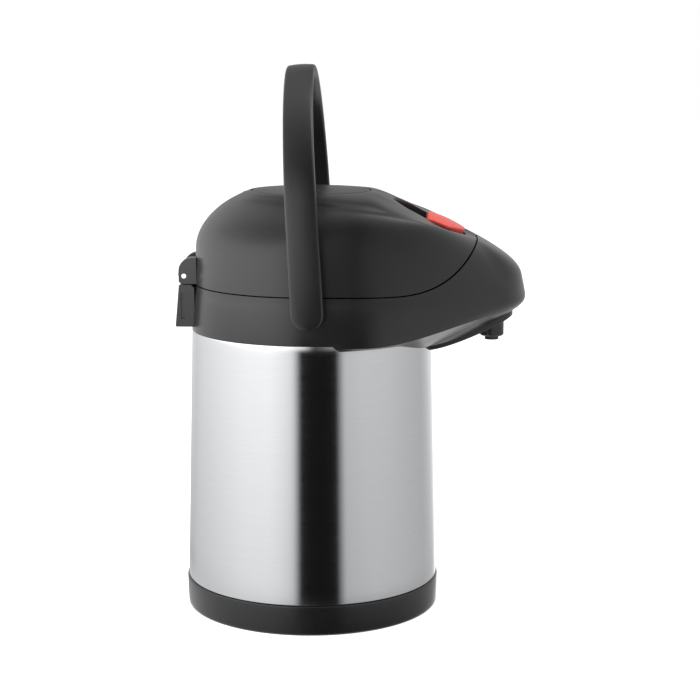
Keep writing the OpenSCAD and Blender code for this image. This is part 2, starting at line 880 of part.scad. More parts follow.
module screw(head_r, head_h, shank_r, shank_h) {
  translate([0, 0, -head_h])
    cylinder(r1 = head_r - 0.6, r2 = head_r, h = head_h, $fn = 32);
  cylinder(r = shank_r, h = shank_h, $fn = 32);
}

module cover_screws() {
  color(steel)
    for (side = [-1, 1])
      translate([screw_x, side * screw_y, keel_z(screw_x - 3) - cover_t - 0.1])
        screw(3, 1.4, 1.2, 10);
}

// Bail
module handle() {
  outer_r = bail_inner + bail_t;
  leg_h = bail_rise - outer_r;
  edge = 1.3;
  end_r = bail_w / 2;
  // Each station: how far along the leg or round the arch, half width, place and direction
  ends = [88, 76, 60, 42, 22, 0];
  arch_steps = 28;
  function section(w, t, soft) =
    [
      [w, soft], [w - soft * 0.3, soft * 0.3], [w - soft, 0],
      [-w + soft, 0], [-w + soft * 0.3, soft * 0.3], [-w, soft],
      [-w, t - soft], [-w + soft * 0.3, t - soft * 0.3], [-w + soft, t],
      [w - soft, t], [w - soft * 0.3, t - soft * 0.3], [w, t - soft]
    ];
  function strap(w, y, z, turn) =
    [
      for (p = section(w, bail_t, min(edge, w * 0.6)))
        [p[0], y + p[1] * cos(turn), z + p[1] * sin(turn)]
    ];
  near_end = [for (a = ends) strap(end_r * cos(a), bail_inner, -end_r * sin(a), 0)];
  arch = [
    for (i = [0:arch_steps])
      let(
        turn = 180 * i / arch_steps,
        w = mix(bail_top_w / 2, end_r, pow(abs(cos(turn)), 1.5) * 0.35)
      )
        strap(w, bail_inner * cos(turn), leg_h + bail_inner * sin(turn), turn)
  ];
  far_end = [
    for (i = [len(ends) - 1:-1:0])
      let(a = ends[i])
        strap(end_r * cos(a), -bail_inner, -end_r * sin(a), 180)
  ];
  color(black)
    translate([bail_x, 0, pivot_z])
      rotate([0, -bail_lean, 0])
        difference() {
          loft(concat(near_end, arch, far_end));
          for (side = [-1, 1])
            translate([0, side * (bail_inner - 1), 0])
              rotate([-90 * side, 0, 0])
                cylinder(r = stub_r + run_fit, h = 1 + 4 + move_gap - 0.6, $fn = 48);
        }
}

module hinge_pin() {
  color(steel)
    translate([-hinge_x, 0, hinge_z])
      rotate([90, 0, 0])
        cylinder(r = hinge_pin_r, h = hinge_w + 0.4, center = true, $fn = 48);
}

// Lid
well_r = plate_r + move_gap;
well_t = 2;
well_foot_z = plate_z - skirt_h - 3;
base_plate_z = seam_z + 0.9;
base_plate_t = 2;
ear_w = (hinge_w - knuckle_w) / 2 - move_gap / 2;
ear_back = hinge_x + 3.3;
module lid_ear() {
  corner = 8;
  foot = 4.9;
  rotate([90, 0, 0])
    linear_extrude(height = ear_w, center = true)
      polygon(concat(
        [[-seam_r + 2.4, hinge_z + ear_rise]],
        arc(-ear_back + corner, hinge_z + ear_rise - corner, corner, 90, 180, 8),
        arc(-hinge_x, hinge_z, foot, 228, 270, 4),
        [[-seam_r + 2.4, hinge_z - foot]]
      ));
}

// The slope's own frame: x runs down the slope, z stands off it
slope_tilt = atan(slope);
recess_x = slope_x;
module on_slope() {
  translate([recess_x, 0, slope_z(recess_x)])
    rotate([0, slope_tilt, 0])
      children();
}
// Plan of the finger recess: round, with flat sides
module recess_plan(grow) {
  intersection() {
    circle(r = recess_len / 2 + grow, $fn = 96);
    square([2 * recess_len, 2 * (recess_half_w + grow)], center = true);
  }
}

latch_at = 20.4;
latch_deep = 4.2;
latch_side = sqrt(pow(recess_len / 2, 2) - pow(latch_at, 2));
latch_pin_x = recess_x + latch_at * cos(slope_tilt) - latch_deep * sin(slope_tilt);
latch_pin_z = slope_z(recess_x) - latch_at * sin(slope_tilt) - latch_deep * cos(slope_tilt);
hook_w = 9;
hook_nose = 0.4;
hook_z = latch_pin_z - 11.4;
hook_x = latch_pin_x + 8;
screw_ring_r = 45.2;
screw_angles = [60, 120, 240, 300];
// Height of the lid's top at a place inside the crest
function roof_z(x, y) =
  let(
    a = atan2(abs(y), x - head_x),
    crest_at = crest_band(a),
    s = (crest_at - norm([x - head_x, y])) / (crest_at - exit_from(0, rim_r, a))
  )
    mix(crest_z(head_x + crest_at * cos(a)), middle_z(x), swell(a, max(0, s)));
function boss_top_z(a) = roof_z(screw_ring_r * cos(a), screw_ring_r * sin(a)) - wall_t / 2;
module lid_shell() {
  color(black)
    difference() {
      union() {
        difference() {
          intersection() {
            head_form(0);
            above_seam(seam_gap);
          }
          intersection() {
            head_form(wall_t);
            across()
              polygon(concat(
                [[-past, seam_z - 5], [seam_start_x + 2, seam_z - 5]],
                [for (p = seam_line(seam_gap + wall_t, seam_gap + wall_t)) if (p[0] > seam_start_x + 2) p],
                [[seam_end_x - seam_gap - wall_t, seam_z + past], [-past, seam_z + past]]
              ));
          }
        }
        // Guide for the push plate
        translate([0, 0, well_foot_z])
          cylinder(r = well_r + well_t, h = rim_z - 1.5 - well_foot_z, $fn = 96);
        // Finger pocket
        on_slope()
          translate([0, 0, -recess_depth - 2])
            linear_extrude(height = recess_depth + 0.4)
              recess_plan(1.8);
        for (side = [-1, 1])
          translate([0, side * (hinge_w - ear_w) / 2, 0])
            lid_ear();
        for (a = screw_angles)
          translate([screw_ring_r * cos(a), screw_ring_r * sin(a), base_plate_z + base_plate_t])
            cylinder(r = 3.4, h = boss_top_z(a) - base_plate_z - base_plate_t, $fn = 32);
      }
      translate([0, 0, well_foot_z - 1])
        cylinder(r = well_r, h = past, $fn = 96);
      on_slope()
        translate([0, 0, -recess_depth])
          linear_extrude(height = recess_depth + 20)
            recess_plan(0);
      // Slot for the lever's arm
      on_slope()
        translate([latch_at - 9, -hook_w / 2 - 1.4, -recess_depth - 6])
          cube([17, hook_w + 2.8, 7]);
      translate([hook_x - 10.6, -hook_w / 2 - 1, hook_z - 10])
        cube([18.6, hook_w + 2, 14]);
      translate([latch_pin_x, 0, latch_pin_z])
        rotate([90, 0, 0])
          cylinder(r = latch_pin_r + run_fit, h = 2 * latch_side + 3.6, center = true, $fn = 48);
      translate([-hinge_x, 0, hinge_z])
        rotate([90, 0, 0])
          cylinder(r = hinge_pin_r + run_fit, h = hinge_w + 4, center = true, $fn = 48);
      for (a = screw_angles)
        translate([screw_ring_r * cos(a), screw_ring_r * sin(a), base_plate_z])
          cylinder(r = 1.4, h = 12, $fn = 32);
    }
}

module lid_base() {
  color(black)
    difference() {
      union() {
        translate([0, 0, base_plate_z])
          linear_extrude(height = base_plate_t)
            intersection() {
              polygon(seam_outline(wall_t + 0.4));
              translate([-past, -past])
                square([past + seam_start_x + 1.6, 2 * past]);
            }
        // Seat of the bellows and the spring
        translate([0, 0, base_plate_z])
          difference() {
            cylinder(r = bellows_r + 2.4, h = base_plate_t + 3, $fn = 96);
            translate([0, 0, -1])
              cylinder(r = bellows_r + 0.6, h = past, $fn = 96);
          }
      }
      translate([0, 0, base_plate_z - 1])
        cylinder(r = 6, h = base_plate_t + 2, $fn = 48);
      for (a = screw_angles)
        translate([screw_ring_r * cos(a), screw_ring_r * sin(a), base_plate_z - 1])
          cylinder(r = 1.8, h = base_plate_t + 2, $fn = 32);
    }
}

module lid_gasket() {
  color(silicone)
    translate([0, 0, head_top_z])
      rotate_extrude()
        translate([mouth_r + 0.6, 0])
          square([lip_w - 5.6, base_plate_z - head_top_z]);
}

module lid_screws() {
  color(steel)
    for (a = screw_angles)
      translate([screw_ring_r * cos(a), screw_ring_r * sin(a), base_plate_z])
        screw(3.2, 1.2, 1.3, 10);
}

// Pump
plate_t = 2.4;
module push_plate() {
  edge_z = plate_z - plate_crown;
  color(black)
    rotate_extrude($fn = 128)
      polygon(concat(
        [
          [0, plate_z - plate_t - plate_crown],
          [plate_r - 1.8, plate_z - plate_t - plate_crown],
          [plate_r - 1.8, plate_z - skirt_h],
          [plate_r, plate_z - skirt_h],
          [plate_r, edge_z - 0.6]
        ],
        [for (i = [0:8]) let(k = 1 - i / 8) [(plate_r - 0.6) * k, edge_z + plate_crown * (1 - k * k)]]
      ));
}

cap_z = plate_z - plate_t - plate_crown;
module bellows_plate() {
  color(milk_white)
    difference() {
      translate([0, 0, cap_z - 2])
        cylinder(r = bellows_r + 0.5, h = 2, $fn = 96);
      translate([0, 0, cap_z - 3])
        cylinder(r = 1.6, h = 4, $fn = 32);
      for (a = [0:60:300])
        rotate([0, 0, a])
          translate([5, 0, cap_z - 3])
            cylinder(r = 1.2, h = 4, $fn = 32);
    }
}

module air_valve() {
  color(rubber_black)
    translate([0, 0, cap_z - 2])
      rotate_extrude($fn = 48)
        polygon([[0, -2.2], [3, -2.2], [8, -0.9], [8, 0], [1.5, 0], [1.5, 1.9], [0, 1.9]]);
}

bellows_foot_z = base_plate_z + base_plate_t;
bellows_top_z = cap_z - 2;
module bellows() {
  skin = 1;
  fold_h = (bellows_top_z - bellows_foot_z - 2 * skin) / fold_count;
  outer = [
    for (i = [0:fold_count - 1])
      each [
        [bellows_r - fold_depth + skin, bellows_foot_z + skin + fold_h * i],
        [bellows_r, bellows_foot_z + skin + fold_h * (i + 0.5)]
      ]
  ];
  color(rubber_black)
    rotate_extrude($fn = 96)
      polygon(concat(
        [[bellows_r - fold_depth - 3, bellows_foot_z], [bellows_r, bellows_foot_z]],
        [[bellows_r, bellows_foot_z + skin]],
        outer,
        [[bellows_r - fold_depth + skin, bellows_top_z - skin]],
        [[bellows_r, bellows_top_z - skin], [bellows_r, bellows_top_z]],
        [[bellows_r - fold_depth - 3, bellows_top_z], [bellows_r - fold_depth - 3, bellows_top_z - skin]],
        [[bellows_r - fold_depth, bellows_top_z - skin]],
        [for (i = [2 * fold_count - 1:-1:0]) [outer[i][0] - skin, outer[i][1]]],
        [[bellows_r - fold_depth - 3, bellows_foot_z + skin]]
      ));
}

module return_spring() {
  color(steel)
    coil(
      spring_r, spring_wire, spring_turns,
      bellows_foot_z + spring_wire / 2 + 0.1,
      bellows_top_z - spring_wire / 2 - 0.1
    );
}

// Latch: a red lever that is lifted by its rear edge, with a hook under the beak's bulkhead
lever_front_gap = 2.2;
spring_coil_r = latch_pin_r + 0.8;
module latch() {
  front = recess_len / 2 - lever_front_gap;
  pad_half = recess_half_w - move_gap;
  crown_r = (pow(pad_half, 2) + pow(lever_crown, 2)) / (2 * lever_crown);
  color(signal_red)
    difference() {
      union() {
        on_slope()
          intersection() {
            translate([0, 0, -3])
              linear_extrude(height = 3 + lever_crown)
                intersection() {
                  translate([move_gap - lever_front_gap, 0])
                    recess_plan(-move_gap);
                  translate([front - lever_len, -pad_half])
                    square([lever_len, 2 * pad_half]);
                }
            translate([front - lever_len / 2, 0, lever_crown - crown_r])
              sphere(r = crown_r, $fn = 128);
          }
        translate([latch_pin_x, 0, latch_pin_z])
          rotate([90, 0, 0])
            cylinder(r = latch_pin_r + 1.7, h = hook_w, center = true, $fn = 48);
        translate([latch_pin_x, 0, latch_pin_z])
          rotate([90, 0, 0])
            linear_extrude(height = hook_w, center = true)
              polygon([
                [-3.2, 2.6],
                [2.4, 1],
                [1.8, -7.2],
                [8 + hook_nose, -9],
                [8 + hook_nose, -10.8],
                [2.2, -13],
                [-1.2, -11.6],
                [-3.2, -3]
              ]);
      }
      translate([latch_pin_x, 0, latch_pin_z])
        rotate([90, 0, 0])
          cylinder(r = latch_pin_r + run_fit, h = 60, center = true, $fn = 48);
      translate([latch_pin_x, hook_w / 2 + 0.2, latch_pin_z])
        rotate([-90, 0, 0])
          cylinder(r = spring_coil_r + 0.9, h = latch_side, $fn = 48);
    }
}

module latch_pin() {
  color(steel)
    translate([latch_pin_x, 0, latch_pin_z])
      rotate([90, 0, 0])
        cylinder(r = latch_pin_r, h = 2 * latch_side + 3, center = true, $fn = 48);
}

module latch_spring() {
  // Where the recess's round wall meets the coil
  reach = latch_at + spring_coil_r + 0.4 + move_gap;
  spring_end_y = sqrt(pow(recess_len / 2, 2) - pow(reach, 2));
  color(steel)
    translate([latch_pin_x, hook_w / 2 + 0.4, latch_pin_z])
      rotate([-90, 0, 0])
        coil(spring_coil_r, 0.8, 3, 0.5, spring_end_y - hook_w / 2 - 0.8);
}

base_cover();
foot_ring();
shell_bottom();
outer_shell();
inner_vessel();
neck_ring();
head_gasket();
tube_head();
siphon_tube();
leak_ball();
collar();
spout_pipe();
spout_nozzle();
spout_cover();
cover_screws();
handle();
hinge_pin();
lid_shell();
lid_base();
lid_gasket();
lid_screws();
push_plate();
bellows_plate();
air_valve();
bellows();
return_spring();
latch();
latch_pin();
latch_spring();
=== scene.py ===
# Airpot: steel flask, black pump lid and beak, red lid lever, swinging bail.
# Lengths in the dictionaries are millimetres in the part's own frame.
import bpy
import bmesh
import json
import math
import numpy as np
from mathutils import Matrix, Vector


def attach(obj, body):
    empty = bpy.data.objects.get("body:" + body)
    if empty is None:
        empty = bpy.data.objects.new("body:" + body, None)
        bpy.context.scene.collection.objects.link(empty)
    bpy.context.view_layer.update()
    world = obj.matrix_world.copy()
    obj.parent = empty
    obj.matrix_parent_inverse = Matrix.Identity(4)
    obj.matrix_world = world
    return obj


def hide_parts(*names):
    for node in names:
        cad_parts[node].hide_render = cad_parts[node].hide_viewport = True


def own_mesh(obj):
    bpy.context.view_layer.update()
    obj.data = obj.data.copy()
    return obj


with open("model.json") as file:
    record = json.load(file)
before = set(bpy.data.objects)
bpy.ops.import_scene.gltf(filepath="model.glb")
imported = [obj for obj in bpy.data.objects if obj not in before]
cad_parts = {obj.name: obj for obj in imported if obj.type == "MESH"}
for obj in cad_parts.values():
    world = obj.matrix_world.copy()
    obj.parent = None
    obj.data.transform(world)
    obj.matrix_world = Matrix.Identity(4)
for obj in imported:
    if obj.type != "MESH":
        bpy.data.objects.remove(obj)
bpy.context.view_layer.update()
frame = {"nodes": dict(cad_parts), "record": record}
scene = bpy.context.scene
past = 320      # mm, beyond any edge of the part


# small helpers
def smooth(t):
    held = np.clip(t, 0, 1)
    return held * held * (3 - 2 * held)


def mix(a, b, share):
    return a + (b - a) * share


def onCircle(radius, degrees):
    turn = math.radians(degrees)
    return radius * math.cos(turn), radius * math.sin(turn)


def arcPoints(middleX, middleZ, radius, fromDegrees, toDegrees, steps):
    points = []
    for i in range(steps + 1):
        x, z = onCircle(radius, mix(fromDegrees, toDegrees, i / steps))
        points.append((middleX + x, middleZ + z))
    return points


def toLinear(hexColour):
    parts = [int(hexColour[i:i + 2], 16) / 255 for i in (1, 3, 5)]
    return [p / 12.92 if p <= 0.04045 else ((p + 0.055) / 1.055) ** 2.4 for p in parts] + [1.0]


def addNode(tree, kind, sockets=None, **settings):
    # A socket takes a value, a node or a node with the name of its output
    node = tree.nodes.new(kind)
    for key, value in settings.items():
        setattr(node, key, value)
    for key, value in (sockets or {}).items():
        source, output = value if isinstance(value, tuple) and len(value) == 2 else (value, 0)
        if isinstance(source, bpy.types.Node):
            tree.links.new(source.outputs[output], node.inputs[key])
        else:
            node.inputs[key].default_value = value
    return node


def emptyTree(owner):
    owner.use_nodes = True
    owner.node_tree.nodes.clear()
    return owner.node_tree


def newMaterial(name):
    material = bpy.data.materials.new(name)
    tree = emptyTree(material)
    shader = addNode(tree, "ShaderNodeBsdfPrincipled")
    addNode(tree, "ShaderNodeOutputMaterial", {0: shader})
    return material, tree, shader


def newObject(name, data):
    thing = bpy.data.objects.new(name, data)
    scene.collection.objects.link(thing)
    return thing


def discard(thing):
    mesh = thing.data
    bpy.data.objects.remove(thing)
    bpy.data.meshes.remove(mesh)


def meshFrom(name, points, edges, faces):
    mesh = bpy.data.meshes.new(name)
    mesh.from_pydata([tuple(float(v) * 0.001 for v in p) for p in points], edges, faces)
    return mesh


def pathObject(name, points):
    return newObject(name, meshFrom(name, points, [(i, i + 1) for i in range(len(points) - 1)], []))


def solidFrom(name, points, faces):
    mesh = meshFrom(name, points, [], faces)
    work = bmesh.new()
    work.from_mesh(mesh)
    bmesh.ops.remove_doubles(work, verts=work.verts, dist=1e-7)
    bmesh.ops.recalc_face_normals(work, faces=work.faces)
    work.to_mesh(mesh)
    work.free()
    return newObject(name, mesh)


def sideFaces(rows, count):
    return [
        (j * count + i, j * count + (i + 1) % count, (j + 1) * count + (i + 1) % count, (j + 1) * count + i)
        for j in range(rows - 1) for i in range(count)
    ]


def loft(name, rings, closeStart="fan"):
    count = len(rings[0])
    points = [p for ring in rings for p in ring]
    faces = sideFaces(len(rings), count)
    if closeStart == "fan":
        faces.append(tuple(range(count)))
    else:       # strips straight across, for an end that mirrors about Y = 0
        for i in range(count // 2):
            faces.append(tuple(dict.fromkeys((i, i + 1, count - i - 1, (count - i) % count))))
    faces.append(tuple(len(points) - count + i for i in range(count)))
    return solidFrom(name, points, faces)


def lathe(name, profile, steps):
    points = []
    for k in range(steps):
        turn = 2 * math.pi * k / steps
        points += [(r * math.cos(turn), r * math.sin(turn), z) for r, z in profile]
    count = len(profile)
    faces = []
    for k in range(steps):
        after = (k + 1) % steps
        for i in range(count):
            j = (i + 1) % count
            if profile[i][0] > 1e-6 or profile[j][0] > 1e-6:    # a stretch on the axis makes no face
                faces.append((k * count + i, k * count + j, after * count + j, after * count + i))
    return solidFrom(name, points, faces)


def prism(name, outline, low=-past / 2, high=past / 2, lie="side"):
    # side: outline in X and Z, run along Y, right across the part unless told. plan: in X and Y, run up Z.
    if lie == "side":
        ends = [[(x, y, z) for x, z in outline] for y in (low, high)]
    else:
        ends = [[(x, y, z) for x, y in outline] for z in (low, high)]
    return loft(name, ends)


def block(name, low, high):
    (x0, y0, z0), (x1, y1, z1) = low, high
    return prism(name, [(x0, z0), (x1, z0), (x1, z1), (x0, z1)], y0, y1)


def rod(name, radius, start, end, steps, endRadius=None):
    start, end = Vector(start), Vector(end)
    way = (end - start).normalized()
    side = way.orthogonal().normalized()
    other = way.cross(side)
    rings = []
    for middle, r in ((start, radius), (end, radius if endRadius is None else endRadius)):
        turns = [2 * math.pi * i / steps for i in range(steps)]
        rings.append([middle + side * r * math.cos(a) + other * r * math.sin(a) for a in turns])
    return loft(name, rings)


def post(name, radius, x, y, low, high, steps, topRadius=None):
    return rod(name, radius, (x, y, low), (x, y, high), steps, topRadius)


def axle(name, radius, x, z, fromY, toY, steps):
    return rod(name, radius, (x, fromY, z), (x, toY, z), steps)


def place(thing, matrix):
    # The matrix is in millimetres and the mesh in metres
    shift = matrix.copy()
    shift.translation = matrix.translation * 0.001
    thing.data.transform(shift)
    return thing


def takeResult(thing):
    # The evaluated shape becomes the mesh, and the modifiers go
    graph = bpy.context.evaluated_depsgraph_get()
    result = bpy.data.meshes.new_from_object(thing.evaluated_get(graph), depsgraph=graph)
    old = thing.data
    thing.modifiers.clear()
    thing.data = result
    bpy.data.meshes.remove(old)


def combine(base, operation, tools):
    for tool in tools:
        modifier = base.modifiers.new("combine", "BOOLEAN")
        modifier.solver = "MANIFOLD"
        modifier.operation = operation
        modifier.object = tool
        takeResult(base)
        discard(tool)


def fuse(base, *tools):
    combine(base, "UNION", tools)


def cut(base, *tools):
    combine(base, "DIFFERENCE", tools)


def keepWithin(base, *tools):
    combine(base, "INTERSECT", tools)


def joinInto(base, *others):
    work = bmesh.new()
    work.from_mesh(base.data)
    for other in others:
        work.from_mesh(other.data)
        discard(other)
    work.to_mesh(base.data)
    work.free()


def dress(thing, name, body, slot, nodes, sharp):
    thing.name = name
    thing.data.name = name
    thing.data.materials.clear()
    thing.data.materials.append(slotMaterials[slot])
    for polygon in thing.data.polygons:
        polygon.use_smooth = True
        polygon.material_index = 0
    thing.data.set_sharp_from_angle(angle=math.radians(sharp))
    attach(thing, body)
    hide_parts(*nodes)


# camera
cameraSetup = {
    "place": (63.6, -1137.3, 361.0),
    "pitch": 80.1,      # degrees up from looking straight down
    "turn": 1.984,
    "lens": 93.84,
}
cameraData = bpy.data.cameras.new("camera")
camera = newObject("camera", cameraData)
camera.location = Vector(cameraSetup["place"]) * 0.001
camera.rotation_euler = (math.radians(cameraSetup["pitch"]), 0, math.radians(cameraSetup["turn"]))
cameraData.lens = cameraSetup["lens"]
cameraData.sensor_width = 36
cameraData.clip_start = 0.05
cameraData.clip_end = 20
scene.camera = camera
print("camera set")


# materials
def finishShader(tree, shader, dark, light, rough, bump, pattern, relief, depth, swing=None):
    # Two close tones and an uneven gloss from one pattern, and a fine relief from the other
    tint = addNode(tree, "ShaderNodeMix", {
        6: toLinear(dark), 7: toLinear(light), 0: pattern}, data_type="RGBA")
    tree.links.new(tint.outputs[2], shader.inputs["Base Color"])
    fine = addNode(tree, "ShaderNodeBump", {"Strength": bump, "Distance": depth * 0.001, "Height": relief})
    tree.links.new(fine.outputs[0], shader.inputs["Normal"])
    if swing is None:
        shader.inputs["Roughness"].default_value = rough
    else:
        less, more = swing
        gloss = addNode(tree, "ShaderNodeMapRange", {
            "From Min": 0.3, "From Max": 0.7, "To Min": rough - less, "To Max": rough + more, 0: pattern})
        tree.links.new(gloss.outputs[0], shader.inputs["Roughness"])


def mouldedPlastic(name, dark, light, rough, grainWidth, patchWidth, bump):
    # Injection moulded ABS with a fine spark-eroded grain: satin, a little uneven in gloss
    material, tree, shader = newMaterial(name)
    spot = addNode(tree, "ShaderNodeTexCoord")
    broad = addNode(tree, "ShaderNodeTexNoise", {
        "Scale": 1000 / patchWidth, "Detail": 3.0, "Vector": (spot, "Object")})
    grain = addNode(tree, "ShaderNodeTexNoise", {
        "Scale": 1000 / grainWidth, "Detail": 2.0, "Roughness": 0.6, "Vector": (spot, "Object")})
    finishShader(tree, shader, dark, light, rough, bump, broad, grain, 0.1, (0.03, 0.03))
    shader.inputs["IOR"].default_value = 1.5
    return material


# Each slot has one material. grain and patch are the width in mm of one grain and of one uneven patch.
# Real grain is about 0.1 mm, and it is drawn at 0.8 to 0.9 mm so that it shows.
plasticLooks = {    # name, dark, light, roughness, grain, patch, bump
    "housing_black": ("mouldedHousing", "#1b1b1c", "#1f1f20", 0.3, 0.9, 24, 0.08),
    "base_black": ("mouldedBase", "#1a1a1b", "#1e1e1f", 0.28, 0.8, 30, 0.05),
    "handle_black": ("mouldedHandle", "#1c1c1d", "#202021", 0.31, 0.9, 26, 0.08),
    "plate_black": ("mouldedPlate", "#1c1c1d", "#212122", 0.34, 0.9, 22, 0.1),
    "inner_black": ("mouldedInner", "#1b1b1c", "#1f1f20", 0.45, 0.8, 20, 0.1),
    "spout_black": ("mouldedSpout", "#19191a", "#1d1d1e", 0.32, 0.8, 20, 0.05),
    "signal_red": ("mouldedRed", "#cf4338", "#da4f43", 0.34, 0.9, 12, 0.06),
    "milk_white": ("milkPolypropylene", "#dcdcd7", "#e8e8e3", 0.4, 0.9, 20, 0.05),
}


def finishedSteel(name, dark, light, rough, lineWidth, stretch, bump):
    # Stainless steel sheet with a fine satin turned round the body: mirrors wide soft bands
    material, tree, shader = newMaterial(name)
    spot = addNode(tree, "ShaderNodeTexCoord")
    stretched = addNode(tree, "ShaderNodeMapping", {"Scale": (1, 1, stretch), "Vector": (spot, "Object")})
    lines = addNode(tree, "ShaderNodeTexNoise", {
        "Scale": 1000 / lineWidth / stretch, "Detail": 3.0, "Roughness": 0.7, "Vector": stretched})
    finishShader(tree, shader, dark, light, rough, bump, lines, lines, 0.05, (0.02, 0.03))
    shader.inputs["Metallic"].default_value = 1.0
    return material


# line is the width in mm of one satin line, and stretch how much longer it is round the body
steelLooks = {    # name, dark, light, roughness, line, stretch, bump
    "shell_steel": ("satinSteel", "#c3c4c6", "#cbccce", 0.13, 0.7, 40, 0.03),
    "inner_steel": ("drawnSteel", "#b4b6b8", "#c0c2c4", 0.24, 0.8, 30, 0.05),
    "pin_steel": ("brightSteel", "#c4c6c8", "#d2d4d6", 0.18, 0.3, 4, 0.03),
}


def softRubber(name, dark, light, rough, patchWidth, bump):
    # Moulded rubber or silicone: matt, with a soft broad shine
    material, tree, shader = newMaterial(name)
    spot = addNode(tree, "ShaderNodeTexCoord")
    cloud = addNode(tree, "ShaderNodeTexNoise", {
        "Scale": 1000 / patchWidth, "Detail": 4.0, "Vector": (spot, "Object")})
    finishShader(tree, shader, dark, light, rough, bump, cloud, cloud, 0.1)
    shader.inputs["IOR"].default_value = 1.52
    return material


rubberLooks = {    # name, dark, light, roughness, patch, bump
    "black_rubber": ("blackRubber", "#1c1c1d", "#242425", 0.62, 3, 0.15),
    "silicone": ("clearSilicone", "#d2d2ce", "#dcdcd8", 0.45, 4, 0.15),
}

slotMaterials = {}
for make, looks in ((mouldedPlastic, plasticLooks), (finishedSteel, steelLooks), (softRubber, rubberLooks)):
    for slot, look in looks.items():
        slotMaterials[slot] = make(*look)
for part in frame["record"]["subparts"]:
    node = frame["nodes"][part["node"]]
    node.data.materials.clear()
    node.data.materials.append(slotMaterials[part["material_slot"]])
print("materials made")

# head form
head = {
    "middleX": 30.0,
    "around": 288,      # points in each ring
    "seamZ": 205.6,
    "shellTopZ": 177.4,
    "deckDrop": 4.0,
    "skirtDrop": 3.4,
    "skirtR": 76.6,
    "footR": 75.2,
    "seamR": 73.1,
    "sideX": 25.0,      # from here the sides draw in to the nose
    "reach": 134.0,
    "noseR": 38.0,
    "tongueR": 12.6,
    "wall": 2.4,
    "edgeClimb": 15.6,
    "keelRootX": 75.0,
    "keelDip": 5.4,
    "keelClimb": 22.2,
    "keelStop": 6.0,        # the keel ends this far before the beak's tip
    "wallBackH": 23.8,
    "wallNoseH": 6.4,
    "crestH": 50.8,
    "crestRiseBack": 0.0015,
    "crestFallAhead": -0.0019,
    "crestR": 48.0,
    "crestSideR": 57.5,
    "crestNoseR": 25.0,
    "crestStop": 29.0,
    "slope": 0.46,
    "slopeX": 74.4,
    "slopeDrop": 8.0,
    "plateR": 37.2,
    "plateZ": 265.4,
    "plateCrown": 1.5,
    "crestLift": 2.2,
    "brink": 0.45,      # share of the steep start above the crest
    "seamGap": 0.75,
    "seamClimb": 43.0,
    "seamStartX": 45.0,
    "seamEndX": 109.0,
}
seamZ, seamR, shellTopZ, footR = head["seamZ"], head["seamR"], head["shellTopZ"], head["footR"]
reach, noseR, middleX, wallT = head["reach"], head["noseR"], head["middleX"], head["wall"]
seamStartX, seamEndX = head["seamStartX"], head["seamEndX"]
angles = np.arange(head["around"]) * 2 * math.pi / head["around"]
turned = np.degrees(np.where(angles > math.pi, 2 * math.pi - angles, angles))
skirtZ = shellTopZ - head["skirtDrop"]
deckZ = seamZ - head["deckDrop"]
keelEndX = reach - head["keelStop"]
crestTip = reach - head["crestStop"]
rimR = head["plateR"] + 1.1
rimZ = head["plateZ"] - head["plateCrown"] - 0.1


def exitFrom(circleX, radius):
    # How far a ray from the head's middle runs to a circle on the X axis
    offset = middleX - circleX
    under = np.asarray(radius) ** 2 - (offset * np.sin(angles)) ** 2
    return np.where(under < 0, 0, -offset * np.cos(angles) + np.sqrt(np.maximum(under, 0)))


def alongX(distance):
    return middleX + distance * np.cos(angles)


def bandR(back, side, tip, nose):
    rays = [exitFrom(mix(0, head["sideX"], i / 10), mix(back, side, i / 10)) for i in range(11)]
    for i in range(1, 49):
        rays.append(exitFrom(mix(head["sideX"], tip - nose, i / 48), mix(side, nose, (i / 48) ** 1.25)))
    return np.max(rays, axis=0)


def edgeZ(x):
    return skirtZ + 2 + head["edgeClimb"] * smooth((x - 35) / (reach - 39))


def keelZ(x):
    low = skirtZ - head["keelDip"] * smooth((x - 54) / 21)
    run = np.clip((x - head["keelRootX"]) / (keelEndX - head["keelRootX"]), 0, 1)
    return np.where(x < head["keelRootX"], low, skirtZ - head["keelDip"] + head["keelClimb"] * run ** 1.35)


def crestZ(x):
    # The lift is only in the lid's middle, where the crest is drawn higher than in the CAD part
    lift = head["crestLift"] * smooth((x + 50) / 40) * (1 - smooth((x - 62) / 34))
    bend = np.where(x < -2, head["crestRiseBack"], head["crestFallAhead"])
    return seamZ + head["crestH"] + bend * (x + 2) ** 2 + lift


def slopeZ(x):
    return seamZ + head["crestH"] - head["slopeDrop"] - head["slope"] * (x - head["slopeX"])


def wallTopZ(x):
    return seamZ + mix(head["wallBackH"], head["wallNoseH"], smooth((x - 30) / 102))


def skirtBand(x):
    return mix(footR, head["skirtR"], smooth((x - 8) / 14))


def atBand(band, height, inset):
    x = alongX(band - inset)
    return np.stack([x, (band - inset) * np.sin(angles), height(x)], -1)


